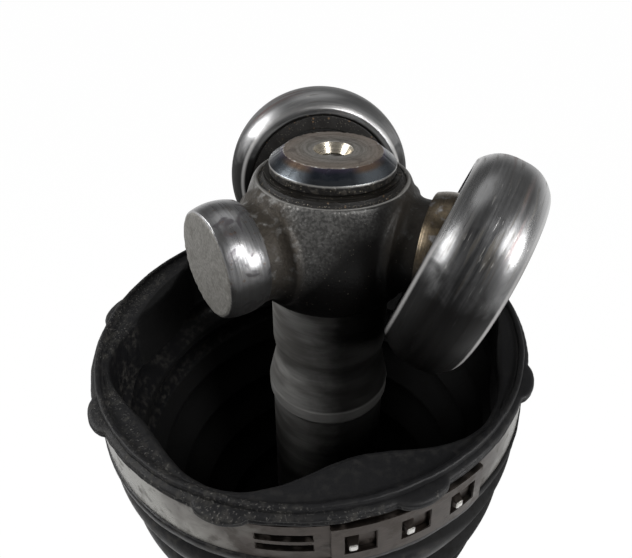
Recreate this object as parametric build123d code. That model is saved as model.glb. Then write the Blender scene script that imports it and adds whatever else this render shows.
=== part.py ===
from build123d import *
from math import cos, radians, sin, sqrt
import os

# Drive shaft of a front-wheel-drive car, with a tripod joint at the top and a ball joint at the bottom.
# Millimetres and degrees. The shaft stands along Z, and +Z points out of the gearbox end. The origin is
# the centre of the tripod joint. The tripod's housing is off, so the rollers stand free above the open
# mouth of the inner boot, and one of the three trunnions is bare.

# Shaft bar
joint_distance = 360.0        # centre of the tripod joint to centre of the ball joint
bar_end_height = 15.7         # top face above the tripod centre
bar_end_face_radius = 8.75    # flat left inside the end chamfer
bar_chamfer_height = 2.1
bar_spline_radius = 11.4      # ends that carry the spider and the inner race
bar_collar_radius = 11.8      # length under the spider
bar_waist_radius = 11.3
bar_shoulder_radius = 12.9    # raised ring inside the inner boot
bar_collar_low = -25.0
bar_waist_height = -28.5
bar_shoulder_high = -36.5
bar_shoulder_low = -39.0
bar_seat_radius = 12.2        # lengths that carry the boot necks
bar_radius = 11.0             # long middle of the bar
bar_cone_length = 8.0         # cones between the middle and the seats
bar_tip_length = 3.2          # bar beyond the ring under the inner race
bar_tip_chamfer = 1.0
centre_hole_radius = 2.4
centre_hole_depth = 9.0
centre_hole_mouth_radius = 3.6

# Retaining rings
ring_thickness = 2.0
ring_radius = 12.5
ring_groove_depth = 1.2
ring_floor_gap = 0.05         # ring to the face that it holds
ring_bore_gap = 0.05          # ring to the floor of its groove
ring_side_gap = 0.1           # ring to the sides of its groove
ring_split_angle = 24.0

# Tripod spider
spider_turn = 7.1             # turns all three trunnions about Z
trunnion_count = 3
hub_mid_radius = 16.6
hub_rim_radius = 14.2
hub_half_height = 10.8
hub_recess_radius = 13.3
hub_recess_depth = 0.9
hub_bore_gap = 0.03
head_radius = 10.7            # spherical head of each trunnion
head_outer_width = 3.9        # head's centre to its flat end
head_inner_width = 3.3        # head's centre to its back edge
head_edge_width = 0.4
neck_radius = 8.6
neck_reach = 2.0              # bare neck between the hub's belly and the head
neck_flare = 1.9              # neck's growth where it meets the hub
neck_flare_length = 3.4

# Roller assemblies
roller_radius = 20.0
roller_width = 13.0
roller_corner_radius = 16.4   # crown's radius at the two faces
roller_lip_radius = 15.3      # bore at the faces
race_radius = 15.2            # bore that the needles run in
needle_radius = 1.25
needle_length = 9.0
needle_count = 32
needle_sides = 12
needle_gap = 0.05             # needles to the race and to the inner ring
inner_ring_width = 9.4
inner_ring_gap = 0.08         # inner ring to the spherical head
side_ring_thickness = 1.0
side_ring_bore_radius = 11.9
side_ring_seat_depth = 0.6    # groove in the roller's bore
side_ring_gap = 0.1           # side rings to the inner ring and the needles
side_ring_fit = 0.03          # side rings in their grooves
# Each roller: the trunnion that carries it, how far it has slid outwards, and how far it droops
roller_places = {
    "rear": (0, 2.5, 4.0),
    "right": (2, 3.5, 18.6),
}

# Inner boot
boot_turn = 45.0              # azimuth of one large lobe
boot_lean = 2.7               # lean of the boot's open end about its neck
boot_lean_azimuth = 172.0
mouth_height = -21.5
boot_wall = 1.7
rim_edge_radius = 42.7        # rim's top edge
rim_lip_radius = 43.6         # lips above and below the clamp
rim_lip_height = 1.9
rim_edge_height = 1.2
rim_floor_drop = 1.0          # floor inside the rim's top edge
rim_floor_radius = 41.7
band_seat_radius = 42.4
lobe_mean_radius = 38.05
lobe_main_wave = 1.75         # makes every other lobe larger
lobe_side_wave = 2.15         # makes six lobes
lobe_depth = 12.6
lobe_arcs = 24
lobe_relief = 0.2
nub_count = 9
nub_radius = 4.4              # seen from above
nub_rise = 1.4                # how far the nubs stand out from the lip
nub_round = 1.1
nub_turn = 15.0
inner_fold_peaks = [43.0, 41.2, 38.8, 35.4, 31.0, 26.0]
inner_fold_valleys = [39.4, 37.4, 34.8, 31.2, 26.4, 21.0]
inner_fold_pitch = 10.6
fold_crest = 2.4              # width of the flat on each fold's crest

# Outer boot
outer_fold_peaks = [42.0, 38.6, 34.4, 30.0, 25.6]
outer_fold_valleys = [37.6, 33.6, 29.2, 24.8, 20.4]
outer_fold_pitch = 10.2
cuff_length = 15.0
cuff_wall = 2.2
cuff_gap = 0.3

# Boot necks and clamps
neck_length = 14.0
neck_wall = 2.6
neck_groove_depth = 0.6
neck_gap = 0.03
band_thickness = 0.8
large_band_width = 8.0
small_band_width = 7.0
clamp_gap = 0.08
closure_angle = 34.0          # length of the closure along a large band
closure_windows = 3
closure_window_share = 0.55
closure_slot_count = 2
closure_slot_width = 1.3
closure_slot_length = 8.6
closure_slot_gap = 2.3
hook_height = 1.2
ear_width = 8.0
ear_height = 3.2

# Ball joint
ball_count = 6
ball_radius = 7.95
ball_circle_radius = 27.5
track_depth_gap = 0.3         # balls to the floors of their tracks
track_side_gap = 1.65         # lets a ball run ahead in its track while the joint is bent
track_half_angle = 52.0
race_sphere_radius = 24.2
race_half_width = 12.0
race_bore_gap = 0.03
cage_race_gap = 0.15
cage_thickness = 4.25
cage_half_width = 13.5
window_gap = 0.06             # balls between the upper and lower sides of their windows
window_side_gap = 0.9
window_corner = 3.0
bell_cage_gap = 0.2
bell_radius = 41.0
bell_land_height = 9.0        # top of the spherical land that holds the cage
bell_mouth_height = 17.0
bell_mouth_radius = 36.0
bell_rim_chamfer = 1.0
bell_side_depth = 12.0        # straight side below the joint's centre
bell_back_depth = 38.0
bell_back_radius = 26.0
bell_dome_share = 0.72        # how full the dome is at its middle
hub_face_depth = 44.0
hub_face_radius = 25.0
boot_groove_low = 5.0
boot_groove_width = 6.0
boot_groove_depth = 0.8

# Stub axle
journal_radius = 15.0
journal_length = 12.0
stub_spline_radius = 13.5
stub_spline_depth = 1.2
stub_spline_length = 34.0
stub_spline_teeth = 26
stub_tooth_root_share = 0.62
stub_tooth_tip_share = 0.34
stub_neck_radius = 9.8
stub_neck_length = 3.0
thread_radius = 11.0
thread_length = 20.0
thread_chamfer = 1.4
stub_hole_radius = 2.5
stub_hole_mouth_radius = 4.6
stub_hole_depth = 8.0

# Worked out from the values above
joint_height = -joint_distance
trunnion_step = 360 / trunnion_count
head_reach = hub_mid_radius + neck_reach + head_inner_width
spider_ring_low = hub_half_height - hub_recess_depth + ring_floor_gap
race_ring_low = joint_height - race_half_width - ring_floor_gap - ring_thickness
bar_low = race_ring_low - bar_tip_length
inner_ring_radius = race_radius - 2 * (needle_radius + needle_gap)
inner_ring_bore = head_radius + inner_ring_gap
needle_circle_radius = (race_radius + inner_ring_radius) / 2
side_ring_low = max(inner_ring_width, needle_length) / 2 + side_ring_gap
band_high = mouth_height - rim_edge_height - rim_lip_height
band_low = band_high - large_band_width - 2 * clamp_gap
fold_top = band_low - rim_lip_height - rim_edge_height
inner_neck_high = fold_top - inner_fold_pitch * len(inner_fold_peaks)
inner_neck_low = inner_neck_high - neck_length
inner_neck_middle = inner_neck_high - neck_length / 2
outer_cuff_low = joint_height
outer_cuff_high = joint_height + max(cuff_length, bell_mouth_height + 1)
cuff_radius = bell_radius + cuff_gap
outer_neck_low = outer_cuff_high + outer_fold_pitch * len(outer_fold_peaks)
outer_neck_high = outer_neck_low + neck_length
outer_neck_middle = outer_neck_low + neck_length / 2
boot_neck_bore = bar_seat_radius + neck_gap
boot_neck_radius = boot_neck_bore + neck_wall
cage_inner_radius = race_sphere_radius + cage_race_gap
cage_outer_radius = cage_inner_radius + cage_thickness
cavity_radius = cage_outer_radius + bell_cage_gap
hub_face_height = joint_height - hub_face_depth
spline_high = hub_face_height - journal_length
spline_low = spline_high - stub_spline_length
thread_high = spline_low - stub_neck_length
stub_low = thread_high - thread_length


def turned(*runs):
    """Solid of revolution about Z. Each run is a list of (radius, height) points, joined by straight
    lines. A run of three points marked with the word arc is the arc through them."""
    edges = []
    for run in runs:
        points = [(p[0], 0, p[1]) for p in run if p != "arc"]
        edges.append(ThreePointArc(*points) if run[0] == "arc" else Polyline(*points))
    first = edges[0] @ 0
    last = edges[-1] @ 1
    if (first - last).length > 1e-6:
        edges.append(Line(last, first))
    return revolve(make_face(edges), Axis.Z, 360)


def tube(outer, inner, low, high):
    """Round tube about Z between two heights."""
    return turned([(inner, low), (outer, low), (outer, high), (inner, high), (inner, low)])


def sphere_arc(radius, low, high):
    """Arc of a sphere's outline between two heights, from low to high."""
    points = [(sqrt(radius ** 2 - z ** 2), z) for z in (low, (low + high) / 2, high)]
    return ["arc", *points]


def about_z(shape, angle):
    return Rot(0, 0, angle) * shape


def centre_hole(radius, mouth_radius, depth):
    """Cutter for a drilled centre hole whose mouth lies at z = 0 and which goes down."""
    cone = mouth_radius - radius
    return turned([(0, 1), (mouth_radius, 1), (mouth_radius, 0), (radius, -1.5 * cone),
                   (radius, -depth), (0, -depth - radius), (0, 1)])


def axle_bar():
    """Bar with its two splined ends, the raised ring and the seats of both boots."""
    spline = bar_spline_radius
    groove = spline - ring_groove_depth
    top_groove = (spider_ring_low - ring_side_gap, spider_ring_low + ring_thickness + ring_side_gap)
    low_groove = (race_ring_low - ring_side_gap, race_ring_low + ring_thickness + ring_side_gap)
    step = -hub_half_height - ring_floor_gap
    race_step = joint_height + race_half_width + ring_floor_gap
    body = turned([
        (0, bar_low), (spline - bar_tip_chamfer, bar_low), (spline, bar_low + bar_tip_chamfer),
        (spline, low_groove[0]), (groove, low_groove[0]), (groove, low_groove[1]),
        (spline, low_groove[1]), (spline, race_step), (bar_seat_radius, race_step),
        (bar_seat_radius, outer_neck_high + neck_length / 2),
        (bar_radius, outer_neck_high + neck_length / 2 + bar_cone_length),
        (bar_radius, inner_neck_low - neck_length / 2 - bar_cone_length),
        (bar_seat_radius, inner_neck_low - neck_length / 2),
        (bar_seat_radius, bar_shoulder_low - 1), (bar_shoulder_radius, bar_shoulder_low),
        (bar_shoulder_radius, bar_shoulder_high), (bar_waist_radius, bar_waist_height),
        (bar_collar_radius, bar_collar_low), (bar_collar_radius, step), (spline, step),
        (spline, top_groove[0]), (groove, top_groove[0]), (groove, top_groove[1]),
        (spline, top_groove[1]), (spline, bar_end_height - bar_chamfer_height),
        (bar_end_face_radius, bar_end_height), (0, bar_end_height), (0, bar_low)])
    hole = centre_hole(centre_hole_radius, centre_hole_mouth_radius, centre_hole_depth)
    return body - Pos(0, 0, bar_end_height) * hole


def retaining_ring(low):
    """Split ring that snaps into a groove of the bar."""
    bore = bar_spline_radius - ring_groove_depth + ring_bore_gap
    ring = tube(ring_radius, bore, low, low + ring_thickness)
    half = radians(ring_split_angle / 2)
    reach = 2 * ring_radius
    wedge = make_face(Polyline((0, 0), (reach * cos(half), reach * sin(half)),
                               (reach * cos(half), -reach * sin(half)), (0, 0)))
    return ring - Pos(0, 0, low - 1) * extrude(wedge, ring_thickness + 2)


def trunnion():
    """One trunnion along Z, from inside the hub to its flat end."""
    low = hub_rim_radius - neck_flare_length
    back = head_reach - head_inner_width
    end = head_reach + head_outer_width
    back_radius = sqrt(head_radius ** 2 - head_inner_width ** 2)
    rim = head_outer_width - head_edge_width
    rim_radius = sqrt(head_radius ** 2 - rim ** 2)
    flare_low = hub_mid_radius - neck_flare
    head = Pos(0, 0, head_reach) * turned(
        [(0, -head_inner_width), (back_radius, -head_inner_width)],
        sphere_arc(head_radius, -head_inner_width, rim),
        [(rim_radius, rim), (rim_radius - head_edge_width, head_outer_width), (0, head_outer_width)],
        [(0, head_outer_width), (0, -head_inner_width)])
    neck = turned(
        [(0, low), (neck_radius + neck_flare, low), (neck_radius + neck_flare, flare_low)],
        ["arc", (neck_radius + neck_flare, flare_low), (neck_radius + neck_flare * 0.25,
                                                      flare_low + neck_flare * 0.65),
         (neck_radius, flare_low + neck_flare)],
        [(neck_radius, flare_low + neck_flare), (neck_radius, back + 0.5), (0, back + 0.5), (0, low)])
    return head + neck


def tripod_spider():
    """Hub with three trunnions, bored for the bar and recessed for its ring."""
    high = hub_half_height
    hub = turned(
        [(0, -high), (hub_rim_radius, -high)],
        ["arc", (hub_rim_radius, -high), (hub_mid_radius, 0), (hub_rim_radius, high)],
        [(hub_rim_radius, high), (0, high), (0, -high)])
    arm = Rot(0, 90, 0) * trunnion()
    for index in range(trunnion_count):
        hub += about_z(arm, trunnion_azimuth(index))
    bore = bar_spline_radius + hub_bore_gap
    hub -= tube(bore, 0, -2 * high, 2 * high)
    for side in (1, -1):
        recess = tube(hub_recess_radius, 0, high - hub_recess_depth, high + 1)
        hub -= recess if side > 0 else Rot(180, 0, 0) * recess
    return hub


def trunnion_azimuth(index):
    return 90 + spider_turn + index * trunnion_step


def on_trunnion(shape, place):
    """Puts a piece made about Z onto its trunnion, slid outwards and drooping as the place says."""
    index, slide, droop = roller_places[place]
    laid = Pos(head_reach, 0, 0) * Rot(0, droop, 0) * Pos(slide, 0, 0) * Rot(0, 90, 0) * shape
    return about_z(laid, trunnion_azimuth(index))


def roller():
    """Crowned ring with a needle race and a groove for each side ring."""
    half = roller_width / 2
    seat = race_radius + side_ring_seat_depth
    low = side_ring_low
    high = side_ring_low + side_ring_thickness + side_ring_fit
    bore = [(roller_lip_radius, high), (seat, high), (seat, low), (race_radius, low)]
    mirrored = [(r, -z) for r, z in reversed(bore)]
    return turned(
        ["arc", (roller_corner_radius, -half), (roller_radius, 0), (roller_corner_radius, half)],
        [(roller_corner_radius, half), (roller_lip_radius, half), *bore, *mirrored,
         (roller_lip_radius, -half), (roller_corner_radius, -half)])


def needles():
    """Full complement of needles between the inner ring and the race."""
    section = RegularPolygon(needle_radius, needle_sides)
    needle = Pos(needle_circle_radius, 0, -needle_length / 2) * extrude(section, needle_length)
    return [about_z(needle, 360 * index / needle_count) for index in range(needle_count)]


def side_ring(side):
    """Split ring in the roller's bore that keeps the needles and the inner ring in."""
    outer = race_radius + side_ring_seat_depth - side_ring_fit
    low = side_ring_low + side_ring_fit / 2
    ring = tube(outer, side_ring_bore_radius, low, low + side_ring_thickness)
    split = Pos(outer, 0, low) * Box(2 * outer - side_ring_bore_radius, 2, 4)
    return Rot(90 - 90 * side, 0, 0) * (ring - split)


def lobe_point(turn):
    """Point of the lobed socket's outline, for a share of a full turn."""
    angle = radians(360 * turn)
    radius = lobe_mean_radius
    radius -= lobe_main_wave * cos(3 * (angle - radians(boot_turn)))
    radius -= lobe_side_wave * cos(6 * (angle - radians(boot_turn)))
    return radius * cos(angle), radius * sin(angle)


def lobed_outline():
    """Closed outline of the lobed socket that the housing fits into."""
    steps = [[(index + part) / lobe_arcs for part in (0, 0.5, 1)] for index in range(lobe_arcs)]
    return make_face([ThreePointArc(*[lobe_point(turn % 1) for turn in turns]) for turns in steps])


def folds(peaks, valleys, start, pitch, inset):
    """Zigzag outline of a boot's folds, from its wide end to its narrow end. A positive inset gives
    the inner side of the wall, and a negative pitch makes the folds run downwards."""
    crest = fold_crest / 2 if inset == 0 else fold_crest / 4
    way = 1 if pitch > 0 else -1
    points = []
    for index, (peak, valley) in enumerate(zip(peaks, valleys)):
        middle = start + (index + 0.45) * pitch
        points.append((peak - inset, middle - way * crest))
        points.append((peak - inset, middle + way * crest))
        points.append((valley - inset, start + (index + 1) * pitch))
    return points


def leaned(shape):
    """Turns what belongs to the inner boot's open end about the middle of its neck."""
    pivot = inner_neck_middle
    tilt = Rot(0, 0, boot_lean_azimuth) * Rot(0, boot_lean, 0) * Rot(0, 0, -boot_lean_azimuth)
    return Pos(0, 0, pivot) * tilt * Pos(0, 0, -pivot) * shape


def rim_nub():
    """Rounded nub between the rim's top edge and the clamp."""
    high = mouth_height - nub_round / 4
    height = high - band_high - nub_round / 4
    reach = rim_lip_radius + nub_rise - nub_radius
    nub = Pos(reach, 0, high - height / 2) * Cylinder(nub_radius, height)
    return chamfer(nub.edges().filter_by(GeomType.CIRCLE), nub_round)


def boot_neck(low, high, middle):
    """Neck of a boot on its seat, with a shallow groove for its clamp."""
    half = small_band_width / 2 + clamp_gap
    groove = boot_neck_radius - neck_groove_depth
    return turned([
        (boot_neck_bore, low), (boot_neck_radius, low), (boot_neck_radius, middle - half),
        (groove, middle - half), (groove, middle + half), (boot_neck_radius, middle + half),
        (boot_neck_radius, high), (boot_neck_bore, high), (boot_neck_bore, low)])


def inner_boot():
    """Rubber boot with a lobed socket for the housing, nubs round its rim and tapering folds."""
    edge = mouth_height - rim_edge_height
    lobe_low = mouth_height - lobe_depth
    neck_join = boot_neck_bore + neck_wall / 2
    floor = mouth_height - rim_floor_drop
    outer = [(rim_floor_radius, mouth_height), (rim_edge_radius, mouth_height),
             (rim_lip_radius, edge), (rim_lip_radius, band_high), (band_seat_radius, band_high),
             (band_seat_radius, band_low), (rim_lip_radius, band_low),
             (rim_lip_radius, band_low - rim_lip_height)]
    outer += [(inner_fold_valleys[0], fold_top)]
    outer += folds(inner_fold_peaks, inner_fold_valleys, fold_top, -inner_fold_pitch, 0)
    inner = folds(inner_fold_peaks, inner_fold_valleys, fold_top, -inner_fold_pitch, boot_wall)
    inner = [(inner_fold_valleys[0] - boot_wall, fold_top), *inner]
    inner[-1] = (neck_join, inner_neck_high + boot_wall)
    outer[-1] = (neck_join + boot_wall, inner_neck_high)
    wall = band_seat_radius - boot_wall
    core = lobe_mean_radius - 2 * (lobe_main_wave + lobe_side_wave)
    socket = [(rim_floor_radius, floor), (core, floor), (core, lobe_low), (wall, lobe_low),
              (wall, lobe_low - 2 * lobe_relief)]
    head = turned([*outer, (neck_join, inner_neck_high), *reversed(inner), *reversed(socket),
                   (rim_floor_radius, mouth_height)])
    head -= Pos(0, 0, lobe_low - lobe_relief) * extrude(lobed_outline(), lobe_depth + lobe_relief)
    nub = rim_nub()
    for index in range(nub_count):
        head += about_z(nub, nub_turn + 360 * index / nub_count)
    neck = boot_neck(inner_neck_low, inner_neck_high + boot_wall / 2, inner_neck_middle)
    return leaned(head) + neck


def outer_boot():
    """Rubber boot between the bar and the bell."""
    neck_join = boot_neck_bore + neck_wall / 2
    cuff_outer = cuff_radius + cuff_wall
    groove = cuff_outer - neck_groove_depth
    middle = band_middle()
    half = large_band_width / 2 + clamp_gap
    outer = [(cuff_radius, outer_cuff_low), (cuff_outer, outer_cuff_low), (cuff_outer, middle - half),
             (groove, middle - half), (groove, middle + half), (cuff_outer, middle + half),
             (cuff_outer, outer_cuff_high)]
    outer += folds(outer_fold_peaks, outer_fold_valleys, outer_cuff_high, outer_fold_pitch, 0)
    inner = folds(outer_fold_peaks, outer_fold_valleys, outer_cuff_high, outer_fold_pitch, boot_wall)
    inner = [(cuff_radius, outer_cuff_high), *inner]
    inner[-1] = (neck_join, outer_neck_low - boot_wall)
    outer[-1] = (neck_join + boot_wall, outer_neck_low)
    shell = turned([*outer, (neck_join, outer_neck_low), *reversed(inner),
                    (cuff_radius, outer_cuff_low)])
    return shell + boot_neck(outer_neck_low - boot_wall / 2, outer_neck_high, outer_neck_middle)


def band_middle():
    """Height of the middle of the clamp on the bell."""
    return joint_height + boot_groove_low + boot_groove_width / 2


def windowed_clamp(bore, low, width, azimuth):
    """Flat band clamp whose upper end hooks into windows, with two slots in the band below it."""
    outer = bore + band_thickness
    band = about_z(tube(outer, bore, low, low + width), 180)
    layer = about_z(tube(outer + band_thickness, outer - band_thickness / 2, low, low + width), 180)
    half = radians(closure_angle / 2)
    reach = 2 * outer
    sector = make_face(Polyline((0, 0), (reach * cos(half), -reach * sin(half)),
                                (reach * cos(half), reach * sin(half)), (0, 0)))
    layer &= Pos(0, 0, low - 1) * extrude(sector, width + 2)
    step = closure_angle / closure_windows
    length = radians(step * closure_window_share) * outer
    middle = low + width / 2
    hooks = []
    for index in range(closure_windows):
        angle = (index + 0.5) * step - closure_angle / 2
        window = Pos(outer, 0, middle) * Box(6 * band_thickness, length, width / 2)
        hook = Pos(outer + hook_height / 2, -length / 4, middle) * Box(
            band_thickness + hook_height, length / 2, width / 4)
        layer -= about_z(window, angle)
        hooks.append(about_z(hook, angle))
    slot = Rot(0, 90, 0) * extrude(SlotOverall(closure_slot_length, closure_slot_width, rotation=90),
                                   outer + 1)
    start = -closure_angle / 2 - 9
    for index in range(closure_slot_count):
        height = middle + (index - (closure_slot_count - 1) / 2) * closure_slot_gap
        band -= about_z(Pos(0, 0, height) * slot, start)
    clamp = band + layer
    for hook in hooks:
        clamp += hook
    return about_z(clamp, azimuth)


def ear_clamp(bore, low, width, azimuth):
    """Narrow band clamp closed by a crimped ear."""
    outer = bore + band_thickness
    band = tube(outer, bore, low, low + width)
    foot = outer - band_thickness / 2
    half = ear_width / 2
    outline = make_face(Polyline(
        (foot, -half), (foot + ear_height, -half * 0.8), (foot + ear_height, half * 0.8), (foot, half),
        (foot - 0.2, half - 1.4), (foot + ear_height - 0.9, half * 0.55),
        (foot + ear_height - 0.9, -half * 0.55), (foot - 0.2, 1.4 - half), (foot, -half)))
    ear = Pos(0, 0, low) * extrude(outline, width)
    return about_z(band + ear, azimuth)


def ball_track(angle):
    """Cutter for one ball track, an oval swept round the joint's centre."""
    oval = Ellipse(ball_radius + track_depth_gap, ball_radius + track_side_gap)
    section = Rot(0, -track_half_angle, 0) * Pos(ball_circle_radius, 0, 0) * oval
    return about_z(revolve(section, Axis.Y, 2 * track_half_angle), angle)


def ball_angles():
    return [90 + 360 * index / ball_count for index in range(ball_count)]


def at_joint(shape):
    return Pos(0, 0, joint_height) * shape


def inner_race():
    """Star-shaped race on the bar's lower end."""
    bore = bar_spline_radius + race_bore_gap
    half = race_half_width
    rim = sqrt(race_sphere_radius ** 2 - half ** 2)
    race = turned([(rim, half), (bore, half), (bore, -half), (rim, -half)],
                  sphere_arc(race_sphere_radius, -half, half))
    for angle in ball_angles():
        race -= ball_track(angle)
    return at_joint(race)


def ball_cage():
    """Spherical cage with a window for each ball."""
    half = cage_half_width
    outer = sqrt(cage_outer_radius ** 2 - half ** 2)
    inner = sqrt(cage_inner_radius ** 2 - half ** 2)
    cage = turned(sphere_arc(cage_outer_radius, -half, half), [(outer, half), (inner, half)],
                  sphere_arc(cage_inner_radius, half, -half), [(inner, -half), (outer, -half)])
    window = RectangleRounded(2 * (ball_radius + window_gap), 2 * (ball_radius + window_side_gap),
                              window_corner)
    cutter = Rot(0, 90, 0) * extrude(window, cage_outer_radius + 1)
    for angle in ball_angles():
        cage -= about_z(cutter, angle)
    return at_joint(cage)


def joint_ball(angle):
    return at_joint(about_z(Pos(ball_circle_radius, 0, 0) * Sphere(ball_radius), angle))


def spline_teeth(radius, depth, count, low, high):
    """Toothed prism that stands round the stub axle."""
    root = radius - depth
    pitch = 360 / count
    points = []
    for index in range(count):
        for r, share in ((root, -stub_tooth_root_share), (radius, -stub_tooth_tip_share),
                         (radius, stub_tooth_tip_share), (root, stub_tooth_root_share)):
            angle = radians((index + share / 2) * pitch)
            points.append((r * cos(angle), r * sin(angle)))
    outline = make_face(Polyline(*points, points[0]))
    return Pos(0, 0, low) * extrude(outline, high - low)


def outer_joint_bell():
    """Bell with its cavity, ball tracks and boot groove, in one piece with the stub axle."""
    top = bell_mouth_height
    groove = bell_radius - boot_groove_depth
    land = sqrt(cavity_radius ** 2 - bell_land_height ** 2)
    dome_radius = bell_back_radius + bell_dome_share * (bell_radius - bell_back_radius)
    dome_depth = bell_side_depth + bell_dome_share * (bell_back_depth - bell_side_depth)
    root = stub_spline_radius - stub_spline_depth
    stub = [(journal_radius, hub_face_height), (journal_radius, spline_high), (root, spline_high),
            (root, spline_low), (stub_neck_radius, spline_low), (stub_neck_radius, thread_high),
            (thread_radius, thread_high), (thread_radius, stub_low + thread_chamfer),
            (thread_radius - thread_chamfer, stub_low), (0, stub_low)]
    stub = [(r, z - joint_height) for r, z in stub]
    bell = turned(
        ["arc", (0, -cavity_radius), (cavity_radius * sin(radians(45)), -cavity_radius * cos(radians(45))),
         (cavity_radius, 0)],
        sphere_arc(cavity_radius, 0, bell_land_height),
        [(land, bell_land_height), (bell_mouth_radius, top), (bell_radius - bell_rim_chamfer, top),
         (bell_radius, top - bell_rim_chamfer), (bell_radius, boot_groove_low + boot_groove_width),
         (groove, boot_groove_low + boot_groove_width), (groove, boot_groove_low),
         (bell_radius, boot_groove_low), (bell_radius, -bell_side_depth)],
        ["arc", (bell_radius, -bell_side_depth), (dome_radius, -dome_depth),
         (bell_back_radius, -bell_back_depth)],
        [(bell_back_radius, -bell_back_depth), (hub_face_radius, -hub_face_depth), *stub,
         (0, -cavity_radius)])
    for angle in ball_angles():
        bell -= ball_track(angle)
    bell = at_joint(bell)
    bell += spline_teeth(stub_spline_radius, stub_spline_depth, stub_spline_teeth, spline_low, spline_high)
    hole = centre_hole(stub_hole_radius, stub_hole_mouth_radius, stub_hole_depth)
    return bell - Pos(0, 0, stub_low) * Rot(180, 0, 0) * hole


def save(shape, node):
    """Writes one node. A list of solids becomes one node of separate solids."""
    if isinstance(shape, list):
        shape = Compound(children=shape)
    export_step(shape, f"parts/{node}.step")


def roller_pieces(place):
    save(on_trunnion(roller(), place), f"{place}_roller")
    ring = tube(inner_ring_radius, inner_ring_bore, -inner_ring_width / 2, inner_ring_width / 2)
    save(on_trunnion(ring, place), f"{place}_inner_ring")
    save([on_trunnion(needle, place) for needle in needles()], f"{place}_needles")
    save(on_trunnion(side_ring(1), place), f"{place}_outer_side_ring")
    save(on_trunnion(side_ring(-1), place), f"{place}_inner_side_ring")


def clamps():
    large_bore = band_seat_radius + clamp_gap
    small_bore = boot_neck_radius - neck_groove_depth + clamp_gap
    cuff_bore = cuff_radius + cuff_wall - neck_groove_depth + clamp_gap
    inner_clamp = windowed_clamp(large_bore, band_low + clamp_gap, large_band_width, 293)
    save(leaned(inner_clamp), "inner_boot_large_clamp")
    save(ear_clamp(small_bore, inner_neck_middle - small_band_width / 2, small_band_width, 250),
         "inner_boot_small_clamp")
    save(windowed_clamp(cuff_bore, band_middle() - large_band_width / 2, large_band_width, 300),
         "outer_boot_large_clamp")
    save(ear_clamp(small_bore, outer_neck_middle - small_band_width / 2, small_band_width, 290),
         "outer_boot_small_clamp")


def main():
    os.makedirs("parts", exist_ok=True)
    save(axle_bar(), "axle_bar")
    save(tripod_spider(), "tripod_spider")
    save(retaining_ring(spider_ring_low), "spider_retaining_ring")
    for place in roller_places:
        roller_pieces(place)
    save(inner_boot(), "inner_boot")
    save(outer_boot(), "outer_boot")
    clamps()
    save(inner_race(), "inner_race")
    save(retaining_ring(race_ring_low), "race_retaining_ring")
    save(ball_cage(), "ball_cage")
    for number, angle in enumerate(ball_angles(), 1):
        save(joint_ball(angle), f"joint_ball_{number}")
    save(outer_joint_bell(), "outer_joint_bell")


main()
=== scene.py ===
import logging
from collections.abc import Callable, Iterator, Sequence
from contextlib import contextmanager
from dataclasses import dataclass
from enum import Enum
from math import acos, atan2, cos, pi, radians, sin, sqrt, tan

import bmesh
import bpy
import numpy as np
from mathutils import Matrix, Vector


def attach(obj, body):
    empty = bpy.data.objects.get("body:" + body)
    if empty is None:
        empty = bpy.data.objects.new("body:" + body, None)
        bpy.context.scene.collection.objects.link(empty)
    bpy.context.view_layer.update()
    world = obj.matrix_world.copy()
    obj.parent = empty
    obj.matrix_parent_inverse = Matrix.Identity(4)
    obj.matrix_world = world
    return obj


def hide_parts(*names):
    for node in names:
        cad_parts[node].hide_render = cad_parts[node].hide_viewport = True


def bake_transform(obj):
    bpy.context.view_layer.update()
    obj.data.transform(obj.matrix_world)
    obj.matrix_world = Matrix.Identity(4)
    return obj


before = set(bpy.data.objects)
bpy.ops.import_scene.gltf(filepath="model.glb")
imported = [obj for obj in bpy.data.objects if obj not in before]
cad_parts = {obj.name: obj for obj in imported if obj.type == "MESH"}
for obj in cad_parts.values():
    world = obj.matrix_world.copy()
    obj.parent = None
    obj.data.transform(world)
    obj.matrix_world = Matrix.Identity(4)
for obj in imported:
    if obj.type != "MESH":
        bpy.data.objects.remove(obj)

# A car's drive shaft, dressed for its photograph. Sizes are millimetres and angles degrees, unless a
# name says otherwise. The shaft stands along Z, and the origin is the centre of the tripod joint.

MM = 0.001
PICTURE_SIZE = (632, 558)
JOINT_HEIGHT = -360.0
log = logging.getLogger("drive_shaft")
Place = Colour = tuple[float, float, float]
Span = tuple[float, float]
Pair = tuple[Colour, Colour]


# Shapes


@dataclass
class Shape:
    """A surface: its points in millimetres and the faces between them."""

    points: np.ndarray
    faces: list[tuple[int, ...]]

    def placed(self, place: Matrix) -> "Shape":
        """The same surface, moved by a matrix in millimetres."""
        turned = self.points @ np.array(place.to_3x3()).T + np.array(place.translation)
        return Shape(turned, self.faces)

    def __add__(self, other: "Shape") -> "Shape":
        """Both surfaces as one."""
        shift = len(self.points)
        moved = [tuple(i + shift for i in face) for face in other.faces]
        return Shape(np.vstack([self.points, other.points]), self.faces + moved)


def woven(grid: np.ndarray, along: bool = True) -> Shape:
    """Weaves a grid of points into quads.

    Args:
        grid: Points as rows of rings, of shape (rows, columns, 3). The columns always close.
        along: Whether the last row joins the first as well.

    Returns:
        The woven surface.
    """
    rows, columns = grid.shape[:2]
    number = np.arange(rows * columns).reshape(rows, columns)
    below, right = np.roll(number, -1, 0), np.roll(number, -1, 1)
    quads = np.stack([number, right, np.roll(below, -1, 1), below], -1)
    quads = quads if along else quads[:-1]
    return Shape(grid.reshape(-1, 3), [tuple(q) for q in quads.reshape(-1, 4).tolist()])


def turned_points(radius: np.ndarray | float, turn: np.ndarray, height: np.ndarray | float) -> np.ndarray:
    """Points from radii, azimuths and heights."""
    return np.stack([radius * np.cos(turn), radius * np.sin(turn), height + 0 * turn], -1)


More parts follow.
